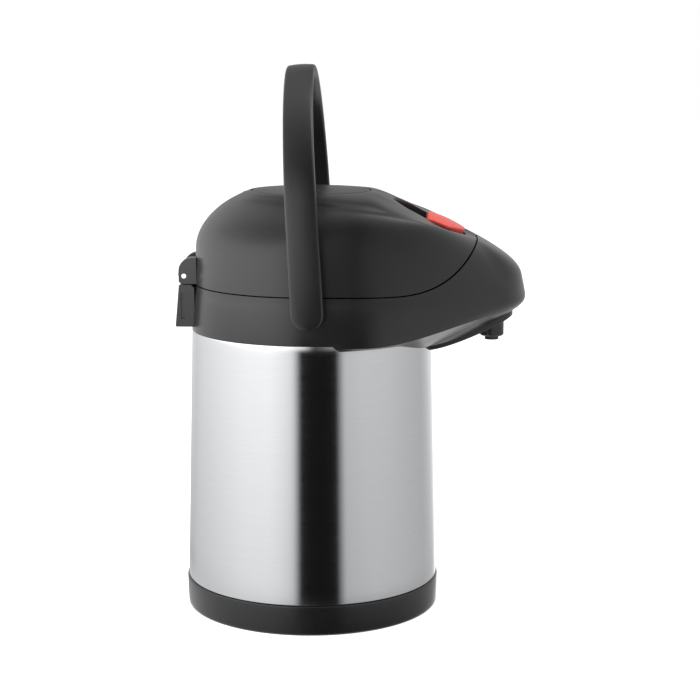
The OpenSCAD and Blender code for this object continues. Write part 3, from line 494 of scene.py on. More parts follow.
skirtR = skirtBand(alongX(exitFrom(0, head["skirtR"])))
keelRays = [exitFrom(0, skirtR)]
for i in range(25):
    keelRays.append(exitFrom(mix(64, keelEndX - head["tongueR"], i / 24), mix(20, head["tongueR"], i / 24)))
keelBand = np.max(keelRays, axis=0)
edgeBand = bandR(skirtR, 74.6, reach - 4.2, noseR - 2)
lowBand = bandR(footR - 0.1, 74.5, reach - 0.9, noseR - 0.4)
midBand = bandR(seamR + 0.7, 73.8, reach + 0.2, noseR + 0.6)
seamBand = bandR(seamR, 73, reach - 0.8, noseR)
wallBand = bandR(seamR - 0.9, 71.8, reach - 2.3, noseR - 7)
crestRays = []
for i in range(13):
    crestRays.append(exitFrom(mix(0, 40, i / 12), mix(head["crestR"], head["crestSideR"], i / 12)))
for i in range(1, 37):
    circleX = mix(40, crestTip - head["crestNoseR"], i / 36)
    crestRays.append(exitFrom(circleX, mix(head["crestSideR"], head["crestNoseR"], i / 36)))
crestBand = np.max(crestRays, axis=0)


def shoulderRing(inset, share):
    # From the wall (0) over the rounded shoulder to the crest (1)
    lowZ = wallTopZ(alongX(wallBand))
    highZ = crestZ(alongX(crestBand))
    lean = (seamBand - wallBand) / (lowZ - seamZ + 0.7)
    grip = mix(0.7, 0.6, smooth(turned / 55))
    fall = mix(mix(0.52, 0.16, smooth(turned / 60)), 0.5, smooth((turned - 95) / 70))
    cornerR = (wallBand - lean * (highZ + fall * crestBand - lowZ)) / (1 - lean * fall)
    cornerZ = highZ - fall * (cornerR - crestBand)
    knots = [
        (wallBand, lowZ),
        (mix(wallBand, cornerR, grip), mix(lowZ, cornerZ, grip)),
        (mix(crestBand, cornerR, grip), mix(highZ, cornerZ, grip)),
        (crestBand, highZ),
    ]
    rest = 1 - share
    weights = [rest ** 3, 3 * rest ** 2 * share, 3 * rest * share * share, share ** 3]
    r = sum(weight * knot[0] for weight, knot in zip(weights, knots)) - inset
    z = sum(weight * knot[1] for weight, knot in zip(weights, knots)) - inset * share
    return np.stack([alongX(r), r * np.sin(angles), z], -1)


def topRing(inset, share):
    # From the crest (0) to the rim round the push plate (1)
    crestAt = crestBand - inset
    r = mix(crestAt, exitFrom(0, rimR), share)
    x = alongX(r)
    power = mix(mix(4, 1.5, smooth((turned - 20) / 50)), 1.2, smooth((turned - 110) / 60))
    brink = head["brink"] * smooth((turned - 15) / 30) * (1 - smooth((turned - 150) / 25))
    rise = mix(1 - (1 - share) ** power, 1 - (1 - share) ** 8, brink)
    above = slopeZ(x) - rimZ        # the rim blends into the slope over 3 mm each way
    target = rimZ + np.where(above > 3, 0, np.where(above < -3, above, -((3 - above) ** 2) / 12))
    z = mix(crestZ(alongX(crestAt)), target, rise) - inset
    return np.stack([x, r * np.sin(angles), z], -1)


def throughRings(rings, steps):
    # Smooth rings between the given ones, each point on a curve through its neighbours
    made = []
    for j in range(len(rings) - 1):
        before = rings[j - 1] if j else 2 * rings[0] - rings[1]
        after = rings[j + 2] if j + 2 < len(rings) else 2 * rings[-1] - rings[-2]
        p, q = rings[j], rings[j + 1]
        for i in range(steps):
            t = i / steps
            made.append(0.5 * (2 * p + (q - before) * t + (2 * before - 5 * p + 4 * q - after) * t * t
                               + (3 * p - before - 3 * q + after) * t ** 3))
    return made + [rings[-1]]


def headForm(name, inset):
    wall = throughRings([
        atBand(edgeBand, lambda x: edgeZ(x) + inset, inset),
        atBand(lowBand, lambda x: edgeZ(x) + inset + mix(5, 3.3, smooth((x - 40) / 60)), inset),
        atBand(midBand, lambda x: np.maximum(seamZ - 8, edgeZ(x) + inset + 7), inset),
        atBand(seamBand, lambda x: x * 0 + seamZ - 0.7, inset),
        shoulderRing(inset, 0),
    ], 4)
    rings = [atBand(keelBand, lambda x: keelZ(x) + inset, inset)] + wall
    rings += [shoulderRing(inset, k / 20) for k in range(1, 21)]
    topShares = (0.04, 0.08, 0.12, 0.17, 0.23, 0.3, 0.38, 0.47, 0.56, 0.66, 0.76, 0.86, 0.94, 1)
    rings += [topRing(inset, share) for share in topShares]
    return loft(name, rings, "strips")


def seamLine(up, back, steps=48):
    line = []
    for i in range(steps + 1):
        share = math.sin(math.pi / 2 * i / steps)
        x = mix(seamStartX, seamEndX, share) - back
        line.append((x, seamZ + head["seamClimb"] * (1 - (1 - share ** 3) ** 0.77) + up))
    return line


def belowSeam(drop=0.0):
    outline = [(-past, seamZ - drop)] + seamLine(-drop, -drop)
    outline += [(seamEndX + drop, seamZ + past), (past, seamZ + past)]
    outline += [(past, -past), (-past, -past)]
    return prism("belowSeam", outline)


def aboveSeam(rise):
    outline = [(-past, seamZ + rise)] + seamLine(rise, rise)
    outline += [(seamEndX - rise, seamZ + past), (-past, seamZ + past)]
    return prism("aboveSeam", outline)


outerHead = headForm("outerHead", 0)
innerHead = headForm("innerHead", wallT)
print("head form made")

# lid
hinge = {
    "x": 78.4, "z": 211.5, "pinR": 1.5, "width": 36.0, "knuckleW": 18.0, "knuckleR": 4.7,
    "earRise": 11.3, "earR": 4.9, "earBack": 3.3, "earCorner": 8.0, "earPlay": 0.25,
    "bracketOut": 5.6, "bracketTopOut": 3.3, "webHalf": 3.29,
}
hingeX, hingeZ = hinge["x"], hinge["z"]
recess = {"halfW": 21.0, "length": 51.0, "depth": 9.0, "shell": 1.8}
lever = {
    "length": 24.8, "crown": 2.5, "frontGap": 2.2, "gap": 0.5, "at": 20.4, "deep": 4.2, "soft": 1.0,
    "barrelR": 3.2, "hookW": 9.0, "hookReach": 8.0, "hookDrop": 11.4, "slotHalf": 5.9, "windowHalf": 5.5,
}
well = {"r": 40.9, "top": 261.0, "mouth": head["plateR"] + 0.5, "guide": 2.0}
lidBoss = {"ringR": 45.2, "angles": (60, 120, 240, 300), "r": 3.4, "foot": 208.5, "top": 253.2,
           "holeR": 1.4}
runFit = 0.05
slopeAt = (head["slopeX"], 0, float(slopeZ(head["slopeX"])))
onSlope = Matrix.Translation(slopeAt) @ Matrix.Rotation(math.atan(head["slope"]), 4, "Y")
leverPin = onSlope @ Vector((lever["at"], 0, -lever["deep"]))
hookX, hookZ = leverPin.x + lever["hookReach"], leverPin.z - lever["hookDrop"]
lidBossSpots = [onCircle(lidBoss["ringR"], a) for a in lidBoss["angles"]]


def recessPlan(grow, steps=96):
    halfL, side = recess["length"] / 2 + grow, recess["halfW"] + grow
    turns = [2 * math.pi * i / steps for i in range(steps)]
    return [(halfL * math.cos(a), max(-side, min(side, halfL * math.sin(a)))) for a in turns]


def hingeHole():
    return axle("pinHole", hinge["pinR"] + runFit, -hingeX, hingeZ, -20, 20, 32)


lidShell = newObject("lidShell", outerHead.data.copy())
keepWithin(lidShell, aboveSeam(head["seamGap"]))
insideStart = seamStartX + 2
insideGap = head["seamGap"] + wallT
inside = [(-past, seamZ - 5), (insideStart, seamZ - 5)]
inside += [p for p in seamLine(insideGap, insideGap) if p[0] > insideStart]
inside += [(seamEndX - insideGap, seamZ + past), (-past, seamZ + past)]
hollow = newObject("hollow", innerHead.data.copy())
keepWithin(hollow, prism("inside", inside))
cut(lidShell, hollow)
fuse(lidShell, post("guide", well["r"] + well["guide"], 0, 0, 238, rimZ - 1.5, 160))
pocket = prism("pocket", recessPlan(recess["shell"]), -recess["depth"] - 2, -1.6, "plan")
fuse(lidShell, place(pocket, onSlope))
earW = (hinge["width"] - hinge["knuckleW"]) / 2 - hinge["earPlay"]
earBack, earTop, earRootX = hingeX + hinge["earBack"], hingeZ + hinge["earRise"], wallT - seamR
earCorner = hinge["earCorner"]
ear = [(earRootX, earTop)]
ear += arcPoints(earCorner - earBack, earTop - earCorner, earCorner, 90, 180, 20)
ear += arcPoints(-hingeX, hingeZ, hinge["earR"], 228, 270, 10)
ear += [(earRootX, hingeZ - hinge["earR"])]
for side in (-1, 1):
    earY = side * (hinge["width"] - earW) / 2
    fuse(lidShell, prism("ear", ear, earY - earW / 2, earY + earW / 2))
for x, y in lidBossSpots:
    fuse(lidShell, post("boss", lidBoss["r"], x, y, lidBoss["foot"], lidBoss["top"], 40))
cut(lidShell, post("well", well["r"], 0, 0, 230, well["top"], 192))
cut(lidShell, post("mouth", well["mouth"], 0, 0, 240, 300, 192))

# Rounded brim of the finger recess: height over the slope, and how far it has widened there
brim = [(-recess["depth"], 0), (-1.7, 0), (-1.1, 0.1), (-0.6, 0.3), (-0.2, 0.65), (0.1, 1.1), (0.3, 1.7),
        (20, 1.7)]
scoop = loft("scoop", [[(x, y, z) for x, y in recessPlan(grow)] for z, grow in brim])
slot = block("slot", (lever["at"] - 9, -lever["slotHalf"], -15), (lever["at"] + 8, lever["slotHalf"], -8))
cut(lidShell, place(scoop, onSlope), place(slot, onSlope))
windowLow = (hookX - 10.6, -lever["windowHalf"], hookZ - 10)
windowHigh = (hookX + 8, lever["windowHalf"], hookZ + 4)
cut(lidShell, block("hookWindow", windowLow, windowHigh), hingeHole())
for x, y in lidBossSpots:
    cut(lidShell, post("screwHole", lidBoss["holeR"], x, y, 206, 218.5, 24))
dress(lidShell, "lidSkin", "lid", "housing_black", ["lid_shell"], 32)
print("lid made")

# collar with beak
collar = {
    "bossR": 7.0, "bossOut": 78.5, "stubR": 5.0, "stubL": 4.0, "bailX": 1.8, "pivotZ": 198.3, "seatR": 75.6,
    "spoutX": 113.5, "spoutR": 7.6, "screwX": 88.0, "screwY": 7.0, "screwBossR": 3.2, "ringR": 49.7,
    "bayR": 54.3,
}
bayWallX = collar["bayR"] + wallT
collarShell = newObject("collarShell", outerHead.data.copy())
discard(outerHead)
keepWithin(collarShell, belowSeam())
underDeck = prism("underDeck", [
    (-past, skirtZ - 12), (past, skirtZ - 12), (past, seamZ + past), (bayWallX, seamZ + past),
    (bayWallX, deckZ - wallT), (-past, deckZ - wallT)])
keepWithin(innerHead, belowSeam(wallT), underDeck)
cut(collarShell, innerHead)
rimX, rimY = alongX(seamBand - wallT), (seamBand - wallT) * np.sin(angles)
deckCut = prism("deckCut", list(zip(rimX, rimY)), deckZ, deckZ + head["deckDrop"] + 1, "plan")
openDeck = block("openDeck", (-past, -past / 2, 100), (seamStartX + 2, past / 2, 300))
fuse(openDeck, post("bay", collar["bayR"], 0, 0, 100, 300, 160))
keepWithin(deckCut, openDeck)
cut(collarShell, deckCut)
for side in (-1, 1):
    rootY, bossY = side * (seamR - 1), side * collar["bossOut"]
    stubY = side * (collar["bossOut"] + collar["stubL"])
    fuse(collarShell, axle("boss", collar["bossR"], collar["bailX"], collar["pivotZ"], rootY, bossY, 72))
    fuse(collarShell, axle("stub", collar["stubR"], collar["bailX"], collar["pivotZ"], rootY, stubY, 64))

# hinge bracket on the collar's back
bracketTop, bracketFoot = seamZ + 0.4, shellTopZ + 2.2
bracketX, bracketTopX = hingeX + hinge["bracketOut"], hingeX + hinge["bracketTopOut"]
bracketOutline = [
    (-bracketX, bracketFoot + 0.6), (-bracketX + 0.6, bracketFoot), (-seamR + 1, bracketFoot),
    (-seamR + 1, bracketTop - 2), (-seamR - 1, bracketTop), (-bracketTopX + 0.8, bracketTop),
    (-bracketTopX + 0.2, bracketTop - 0.25), (-bracketTopX, bracketTop - 0.8),
]
bracket = prism("bracket", bracketOutline, -hinge["width"] / 2, hinge["width"] / 2)
knuckleHalf = hinge["knuckleW"] / 2
fuse(bracket, axle("knuckle", hinge["knuckleR"], -hingeX, hingeZ, -knuckleHalf, knuckleHalf, 64))
webLow = (-hingeX - hinge["webHalf"], -knuckleHalf, bracketTop - 2)
fuse(bracket, block("web", webLow, (-hingeX + hinge["webHalf"], knuckleHalf, hingeZ)))
for side in (-1, 1):
    y = side * hinge["width"] / 2
    grooveLow = (-hingeX - 2.1, y - 1.2, bracketFoot + 5)
    grooveHigh = (-hingeX + 0.5, y + 1.2, bracketTop - 5)
    cut(bracket, block("groove", grooveLow, grooveHigh))
cut(bracket, hingeHole())
fuse(collarShell, bracket)
screwX = collar["screwX"]
stripKeel = float(keelZ(screwX))
bossFoot = stripKeel + 1.8
spoutKeel = float(keelZ(collar["spoutX"]))
for side in (-1, 1):
    y = side * collar["screwY"]
    fuse(collarShell, post("screwBoss", collar["screwBossR"], screwX, y, bossFoot, bossFoot + 9, 32))
seatTopR = footR - wallT - 1
stepOutline = [(-past, -past), (21, -past), (21, skirtZ), (17, shellTopZ), (-past, shellTopZ)]
cut(collarShell, post("seat", collar["seatR"] + 0.9, 0, 0, skirtZ - 20, shellTopZ, 192, collar["seatR"]))
cut(collarShell, post("seatTop", seatTopR, 0, 0, shellTopZ - 1, shellTopZ + 3, 192))
cut(collarShell, prism("step", stepOutline))
cut(collarShell, post("deckHole", collar["ringR"] + 0.2, 0, 0, deckZ - 3.4, deckZ + 1, 160))
spoutHole = post("spoutHole", collar["spoutR"] + 0.2, collar["spoutX"], 0, spoutKeel - 8, spoutKeel + 6, 64)
windowLow = (hookX - 8, -lever["windowHalf"], hookZ - 2.8)
windowHigh = (hookX + 8, lever["windowHalf"], hookZ + 4.6)
cut(collarShell, spoutHole, block("hookWindow", windowLow, windowHigh))
dress(collarShell, "collarSkin", "flask", "housing_black", ["collar"], 32)
print("collar made")

# cover strip under the beak, with its two screws sunk in it
strip = {"halfW": 12.0, "thick": 4.0, "rootX": 73.0, "soft": 1.2, "holeR": 1.8, "sinkR": 3.4, "seat": 1.65}
stripTip = collar["spoutX"] + strip["halfW"] + 1
screwSeatZ = stripKeel - strip["seat"]
stripRings = []
for i in range(41):
    x = mix(strip["rootX"], stripTip, 1 - (1 - i / 40) ** 1.6)
    intoTip = x - stripTip + strip["halfW"]
    halfW = strip["halfW"] if intoTip < 0 else math.sqrt(max(0.2, strip["halfW"] ** 2 - intoTip ** 2))
    top = float(keelZ(x)) - 0.05
    soft = min(strip["soft"], halfW * 0.4)
    corner = arcPoints(halfW - soft, top - strip["thick"] + soft, soft, -90, 0, 6)
    outline = [(halfW, top)] + corner[::-1] + [(-y, z) for y, z in corner] + [(-halfW, top)]
    stripRings.append([(x, y, z) for y, z in outline])
coverStrip = loft("coverStrip", stripRings)
cut(coverStrip, post("nozzleHole", collar["spoutR"] + 0.1, collar["spoutX"], 0, 150, 200, 96))
for y in (-collar["screwY"], collar["screwY"]):
    cut(coverStrip, post("hole", strip["holeR"], screwX, y, 150, 200, 32))
    cut(coverStrip, post("sink", strip["sinkR"], screwX, y, 150, screwSeatZ, 40))
dress(coverStrip, "coverStrip", "flask", "spout_black", ["spout_cover"], 40)

# steel shell
shell = {
    "baseH": 18.6, "ledgeZ": 12.0, "inR": 77.6, "footR": 79.4, "topR": 75.3, "sheet": 0.6,
    "coneR": 61.3, "neckZ": 184.0, "lipR": 46.8, "lipZ": 190.0,
}
sheet = shell["sheet"]
shellProfile = [(shell["inR"], shell["ledgeZ"]), (shell["inR"], shell["baseH"] - 0.3)]
for a in (20, 35, 50, 65, 78, 90):      # small bend above the base band
    up, out = onCircle(1.0, a)
    shellProfile.append((mix(shell["inR"], shell["footR"], out), shell["baseH"] + 0.8 - up))
for k in range(25):
    wallR = mix(shell["footR"], shell["topR"], k / 24)
    shellProfile.append((wallR, mix(shell["baseH"] + 1, shellTopZ - 0.8, k / 24)))
shellProfile += [
    (shell["topR"] - 0.2, shellTopZ - 0.25),
    (shell["topR"] - 0.7, shellTopZ),
    (shell["coneR"], shellTopZ),
    (shell["lipR"], shell["neckZ"]),
    (shell["lipR"], shell["lipZ"] - sheet),
    (shell["lipR"] - sheet, shell["lipZ"] - sheet),
    (shell["lipR"] - sheet, shell["neckZ"] - 0.4),
    (shell["coneR"] - 0.3, shellTopZ - sheet),
    (shell["topR"] - 1.6, shellTopZ - sheet),
    (shell["topR"] - sheet, shellTopZ - 1.8),
    (shell["footR"] - sheet, shell["baseH"] + 1.2),
    (shell["inR"] - sheet, shell["baseH"] + 0.2),
    (shell["inR"] - sheet, shell["ledgeZ"]),
]
steelShell = lathe("steelShell", shellProfile, 384)
dress(steelShell, "steelShell", "flask", "shell_steel", ["outer_shell"], 40)

# base band and floor
base = {
    "topR": 80.3, "footR": 79.7, "corner": 1.2, "footZ": 0.1, "height": 18.6, "topCorner": 0.8, "wall": 2.2,
    "ledge": 2.0, "ringR": 67.0, "ringW": 7.8, "ringH": 3.2, "ringFit": 0.2,
}
baseInR = base["topR"] - base["wall"]
ledgeInR = baseInR - base["ledge"]
ringOutR = base["ringR"] + base["ringW"] / 2 + base["ringFit"]
cornerZ = base["footZ"] + base["corner"]
floorTop = base["footZ"] + 2 * base["wall"]
baseProfile = [(0, base["ringH"]), (ringOutR, base["ringH"]), (ringOutR, base["footZ"])]
baseProfile += arcPoints(base["footR"] - base["corner"], cornerZ, base["corner"], -90, 0, 12)
for share in (0.25, 0.5, 0.75, 1):
    baseProfile.append((mix(base["footR"], base["topR"], share), mix(cornerZ, base["height"] - 1.2, share)))
topCorner = base["topCorner"]
baseProfile += arcPoints(base["topR"] - topCorner, base["height"] - topCorner, topCorner, 20, 90, 5)
baseProfile += [(baseInR, base["height"]), (baseInR, shell["ledgeZ"]), (ledgeInR, shell["ledgeZ"])]
baseProfile += [(ledgeInR, floorTop), (0, floorTop)]
baseBand = lathe("baseBand", baseProfile, 320)
dress(baseBand, "baseBand", "flask", "base_black", ["base_cover"], 40)
print("shell and base made")

# push plate
plate = {
    "r": head["plateR"], "z": head["plateZ"], "crown": head["plateCrown"], "fall": 0.08, "edge": 1.2,
    "sheet": 2.4, "flangeR": 40.4, "flangeZ": 260.4, "flangeT": 2.0, "skirt": 24.0, "skirtT": 1.8,
}
plateRimZ = plate["z"] - plate["crown"]
plateUnderZ = plateRimZ - plate["sheet"]
flangeUnderZ = plate["flangeZ"] - plate["flangeT"]
skirtInR = plate["flangeR"] - plate["skirtT"]
skirtFootZ = plate["z"] - plate["skirt"]
plateProfile = [
    (0, plateUnderZ),
    (plate["r"] - 2.4, plateUnderZ),
    (plate["r"] - 1.8, flangeUnderZ),
    (skirtInR, flangeUnderZ),
    (skirtInR, skirtFootZ),
    (plate["flangeR"], skirtFootZ),
    (plate["flangeR"], plate["flangeZ"] - 0.4),
    (plate["flangeR"] - 0.4, plate["flangeZ"]),
    (plate["r"], plate["flangeZ"]),
]
crownR, crownFootZ = plate["r"] - plate["edge"], plateRimZ + plate["fall"]
plateProfile += arcPoints(crownR, crownFootZ - plate["edge"], plate["edge"], 0, 88, 8)
crownRise = plate["crown"] - plate["fall"]
for share in np.linspace(0.97, 0, 24):
    plateProfile.append((share * crownR, crownFootZ + crownRise * (1 - share * share)))
pushPlate = lathe("pushPlate", plateProfile, 256)
dress(pushPlate, "pushPlateTop", "pump", "plate_black", ["push_plate"], 40)

# bellows
bellows = {"foot": 208.5, "top": 259.1, "r": 34.0, "fold": 6.0, "folds": 7, "skin": 1.0, "collarW": 3.0,
           "stroke": 25.0}
foldH = (bellows["top"] - bellows["foot"] - 2 * bellows["skin"]) / bellows["folds"]
waveR, waveSwing = bellows["r"] - bellows["fold"] / 2, bellows["fold"] / 2 - 0.4
bellowsInR = bellows["r"] - bellows["fold"] - bellows["collarW"]
wave = []
for k in range(16 * bellows["folds"] + 1):
    swing = -math.cos(2 * math.pi * k / 16)
    wave.append((waveR + waveSwing * swing, bellows["foot"] + bellows["skin"] + foldH * k / 16))
bellowsProfile = [(bellowsInR, bellows["foot"]), (bellows["r"], bellows["foot"])]
bellowsProfile += [(bellows["r"], bellows["foot"] + bellows["skin"])] + wave
bellowsProfile += [(bellows["r"], bellows["top"] - bellows["skin"]), (bellows["r"], bellows["top"])]
bellowsProfile += [(bellowsInR, bellows["top"])] + [(r - bellows["skin"], z) for r, z in reversed(wave)]
bellowsFolds = lathe("bellowsFolds", bellowsProfile, 128)
dress(bellowsFolds, "bellowsFolds", "lid", "black_rubber", ["bellows"], 50)
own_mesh(bellowsFolds)
print("pump made")


# node trees for what follows a path
def newTree(name, inputs):
    tree = bpy.data.node_groups.new(name, "GeometryNodeTree")
    tree.interface.new_socket("Geometry", in_out="INPUT", socket_type="NodeSocketGeometry")
    for title, kind in inputs:
        tree.interface.new_socket(title, in_out="INPUT", socket_type="NodeSocket" + kind)
    tree.interface.new_socket("Geometry", in_out="OUTPUT", socket_type="NodeSocketGeometry")
    return tree, addNode(tree, "NodeGroupInput"), addNode(tree, "NodeGroupOutput")


def endTree(tree, start, end, shape):
    # Every tree ends with real geometry and its material
    real = addNode(tree, "GeometryNodeRealizeInstances", {0: shape})
    painted = addNode(tree, "GeometryNodeSetMaterial", {"Geometry": real, "Material": (start, "Material")})
    tree.links.new(painted.outputs[0], end.inputs[0])


def runTree(carrier, tree, values):
    # Sets the inputs by identifier, takes the result as a plain mesh and drops the modifier
    modifier = carrier.modifiers.new(tree.name, "NODES")
    modifier.node_group = tree
    for item in tree.interface.items_tree:
        if item.item_type == "SOCKET" and item.in_out == "INPUT" and item.name in values:
            modifier[item.identifier] = values[item.name]
    takeResult(carrier)


# bail
bail = {
    "rise": 142.5,
    "inner": 79.0,
    "thick": 6.5,
    "pivotWidth": 19.6,
    "topWidth": 17.4,
    "edge": 1.6,
    "crown": 0.7,
    "lean": 3.1,        # degrees
    "blunt": 2.3,       # 2 is a half circle, more is blunter
    "endEdge": 2.2,
    "pocketR": collar["stubR"] + runFit,
    "pocketFrom": 78.0,
    "pocketTo": 82.9,
}
legH = bail["rise"] - bail["inner"] - bail["thick"]
strapR = bail["inner"] + bail["thick"] / 2
endR = bail["pivotWidth"] / 2
endAngles = (89.9, 88, 85, 81, 76, 70, 64, 57, 50, 42, 34, 26, 17, 8, 0)
leg = [(0, strapR, -endR * math.sin(math.radians(a))) for a in endAngles]
leg += [(0, strapR, legH * k / 14) for k in range(1, 14)]
arch = [(0, y, legH + z) for y, z in arcPoints(0, 0, strapR, 0, 180, 112)]
bailPath = pathObject("bailPath", leg + arch + [(0, -y, z) for _, y, z in reversed(leg)])

tree, given, out = newTree("strapAlongPath", [
    ("Width at pivots", "Float"), ("Width share at top", "Float"), ("Thickness", "Float"),
    ("Edge radius", "Float"), ("Crown", "Float"), ("Rise", "Float"), ("Material", "Material")])
toCurve = addNode(tree, "GeometryNodeMeshToCurve", {0: (given, "Geometry")})
steady = addNode(tree, "GeometryNodeSetCurveNormal", {"Normal": (1, 0, 0), 0: toCurve}, mode="FREE")
section = addNode(tree, "GeometryNodeCurvePrimitiveQuadrilateral", {
    "Width": (given, "Width at pivots"), "Height": (given, "Thickness")})
rounded = addNode(tree, "GeometryNodeFilletCurve", {
    "Count": 6, "Curve": section, "Radius": (given, "Edge radius")}, mode="POLY")
fine = addNode(tree, "GeometryNodeSubdivideCurve", {"Cuts": 5, 0: rounded})
spot = addNode(tree, "GeometryNodeInputPosition")
spotParts = addNode(tree, "ShaderNodeSeparateXYZ", {0: spot})
across = addNode(tree, "ShaderNodeMath", {0: spotParts, 1: (given, "Width at pivots")}, operation="DIVIDE")
square = addNode(tree, "ShaderNodeMath", {0: across, 1: across}, operation="MULTIPLY")
swell = addNode(tree, "ShaderNodeMath", {1: -4.0, 2: 1.0, 0: square}, operation="MULTIPLY_ADD")
face = addNode(tree, "ShaderNodeMath", {0: (spotParts, 1)}, operation="SIGN")
swellBy = addNode(tree, "ShaderNodeMath", {0: swell, 1: (given, "Crown")}, operation="MULTIPLY")
swellFace = addNode(tree, "ShaderNodeMath", {0: swellBy, 1: face}, operation="MULTIPLY")
swellVector = addNode(tree, "ShaderNodeCombineXYZ", {1: swellFace})
crowned = addNode(tree, "GeometryNodeSetPosition", {"Geometry": fine, "Offset": swellVector})
swept = addNode(tree, "GeometryNodeCurveToMesh", {
    "Fill Caps": True, "Curve": steady, "Profile Curve": crowned})
where = addNode(tree, "GeometryNodeInputPosition")
whereParts = addNode(tree, "ShaderNodeSeparateXYZ", {0: where})
upShare = addNode(tree, "ShaderNodeMapRange", {
    "To Min": 1.0, "Value": (whereParts, 2), "From Max": (given, "Rise"),
    "To Max": (given, "Width share at top")}, interpolation_type="SMOOTHSTEP")
slimmer = addNode(tree, "ShaderNodeMath", {0: whereParts, 1: upShare}, operation="MULTIPLY")
moved = addNode(tree, "ShaderNodeCombineXYZ", {0: slimmer, 1: (whereParts, 1), 2: (whereParts, 2)})
narrowed = addNode(tree, "GeometryNodeSetPosition", {"Geometry": swept, "Position": moved})
endTree(tree, given, out, narrowed)
runTree(bailPath, tree, {
    "Width at pivots": bail["pivotWidth"] * 0.001, "Thickness": bail["thick"] * 0.001,
    "Width share at top": bail["topWidth"] / bail["pivotWidth"], "Edge radius": bail["edge"] * 0.001,
    "Crown": bail["crown"] * 0.001, "Rise": bail["rise"] * 0.001,
    "Material": slotMaterials["handle_black"]})
for vertex in bailPath.data.vertices:       # blunt round ends with a soft edge
    if vertex.co.z < 0:
        down = min(1.0, -vertex.co.z * 1000 / endR)
        vertex.co.x *= (1 - down ** bail["blunt"]) ** (1 / bail["blunt"])
        intoEdge = max(0.0, 1 - endR * (1 - down) / bail["endEdge"])
        thinner = bail["endEdge"] * (1 - math.sqrt(1 - intoEdge * intoEdge))
        slim = (bail["thick"] / 2 - thinner) / (bail["thick"] / 2)
        strapY = math.copysign(strapR * 0.001, vertex.co.y)
        vertex.co.y = strapY + (vertex.co.y - strapY) * slim
work = bmesh.new()
work.from_mesh(bailPath.data)
bmesh.ops.remove_doubles(work, verts=work.verts, dist=1e-6)
bmesh.ops.dissolve_degenerate(work, dist=1e-6, edges=work.edges)
bmesh.ops.recalc_face_normals(work, faces=work.faces)
work.to_mesh(bailPath.data)
work.free()
for side in (-1, 1):
    fromY, toY = side * bail["pocketFrom"], side * bail["pocketTo"]
    cut(bailPath, axle("pocket", bail["pocketR"], 0, 0, fromY, toY, 64))
pivotAt = Matrix.Translation((collar["bailX"], 0, collar["pivotZ"]))
place(bailPath, pivotAt @ Matrix.Rotation(math.radians(-bail["lean"]), 4, "Y"))
dress(bailPath, "bailStrap", "bail", "handle_black", ["handle"], 40)
print("bail made")

# return spring
spring = {"r": 19.0, "wire": 1.8, "turns": 7.0, "foot": 209.5, "top": 258.1}
tree, given, out = newTree("roundWireCoil", [
    ("Coil radius", "Float"), ("Wire radius", "Float"), ("Turns", "Float"), ("Height", "Float"),
    ("Foot", "Vector"), ("Material", "Material")])
spiral = addNode(tree, "GeometryNodeCurveSpiral", {
    "Resolution": 40, "Rotations": (given, "Turns"), "Start Radius": (given, "Coil radius"),
    "End Radius": (given, "Coil radius"), "Height": (given, "Height")})
wire = addNode(tree, "GeometryNodeCurvePrimitiveCircle", {
    "Resolution": 14, "Radius": (given, "Wire radius")})
wound = addNode(tree, "GeometryNodeCurveToMesh", {
    "Fill Caps": True, "Curve": spiral, "Profile Curve": wire})
lifted = addNode(tree, "GeometryNodeTransform", {"Geometry": wound, "Translation": (given, "Foot")})
endTree(tree, given, out, lifted)
returnCoil = pathObject("returnCoil", [(0, 0, 0), (0, 0, 1)])
runTree(returnCoil, tree, {
    "Coil radius": spring["r"] * 0.001, "Wire radius": spring["wire"] * 0.0005, "Turns": spring["turns"],
    "Height": (spring["top"] - spring["foot"]) * 0.001, "Foot": (0, 0, spring["foot"] * 0.001),
    "Material": slotMaterials["pin_steel"]})
dress(returnCoil, "returnCoil", "lid", "pin_steel", ["return_spring"], 60)
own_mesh(returnCoil)

# screws
lidScrew = {
    "seatZ": 206.5, "headR": 3.2, "headH": 1.2, "shankR": 1.3, "shankH": 10.0, "slotW": 0.8, "slotL": 3.6,
    "slotDeep": 0.7,
}
coverScrew = dict(lidScrew, seatZ=screwSeatZ, headR=3.0, shankR=1.2, shankH=8.0)


def screwMesh(name, sizes):
    body = post(name, sizes["headR"] - 0.5, 0, 0, -sizes["headH"], 0, 32, sizes["headR"])
    fuse(body, post("shank", sizes["shankR"], 0, 0, -0.3, sizes["shankH"], 20))
    halfL, halfW = sizes["slotL"] / 2, sizes["slotW"] / 2
    bottom = sizes["slotDeep"] - sizes["headH"]
    for x, y in ((halfL, halfW), (halfW, halfL)):
        cut(body, block("slot", (-x, -y, -sizes["headH"] - 1), (x, y, bottom)))
    return body


screwTree, given, out = newTree("screwsOnPoints", [
    ("Screw", "Object"), ("Turn", "Float"), ("Seed", "Int"), ("Material", "Material")])
spots = addNode(screwTree, "GeometryNodeMeshToPoints", {0: (given, "Geometry")})
pattern = addNode(screwTree, "GeometryNodeObjectInfo", {0: (given, "Screw")})
turnBy = addNode(screwTree, "FunctionNodeRandomValue", {
    "Seed": (given, "Seed"), 3: (given, "Turn")}, data_type="FLOAT")
turnVector = addNode(screwTree, "ShaderNodeCombineXYZ", {2: (turnBy, 1)})
copies = addNode(screwTree, "GeometryNodeInstanceOnPoints", {
    "Points": spots, "Instance": (pattern, "Geometry"), "Rotation": turnVector})
endTree(screwTree, given, out, copies)


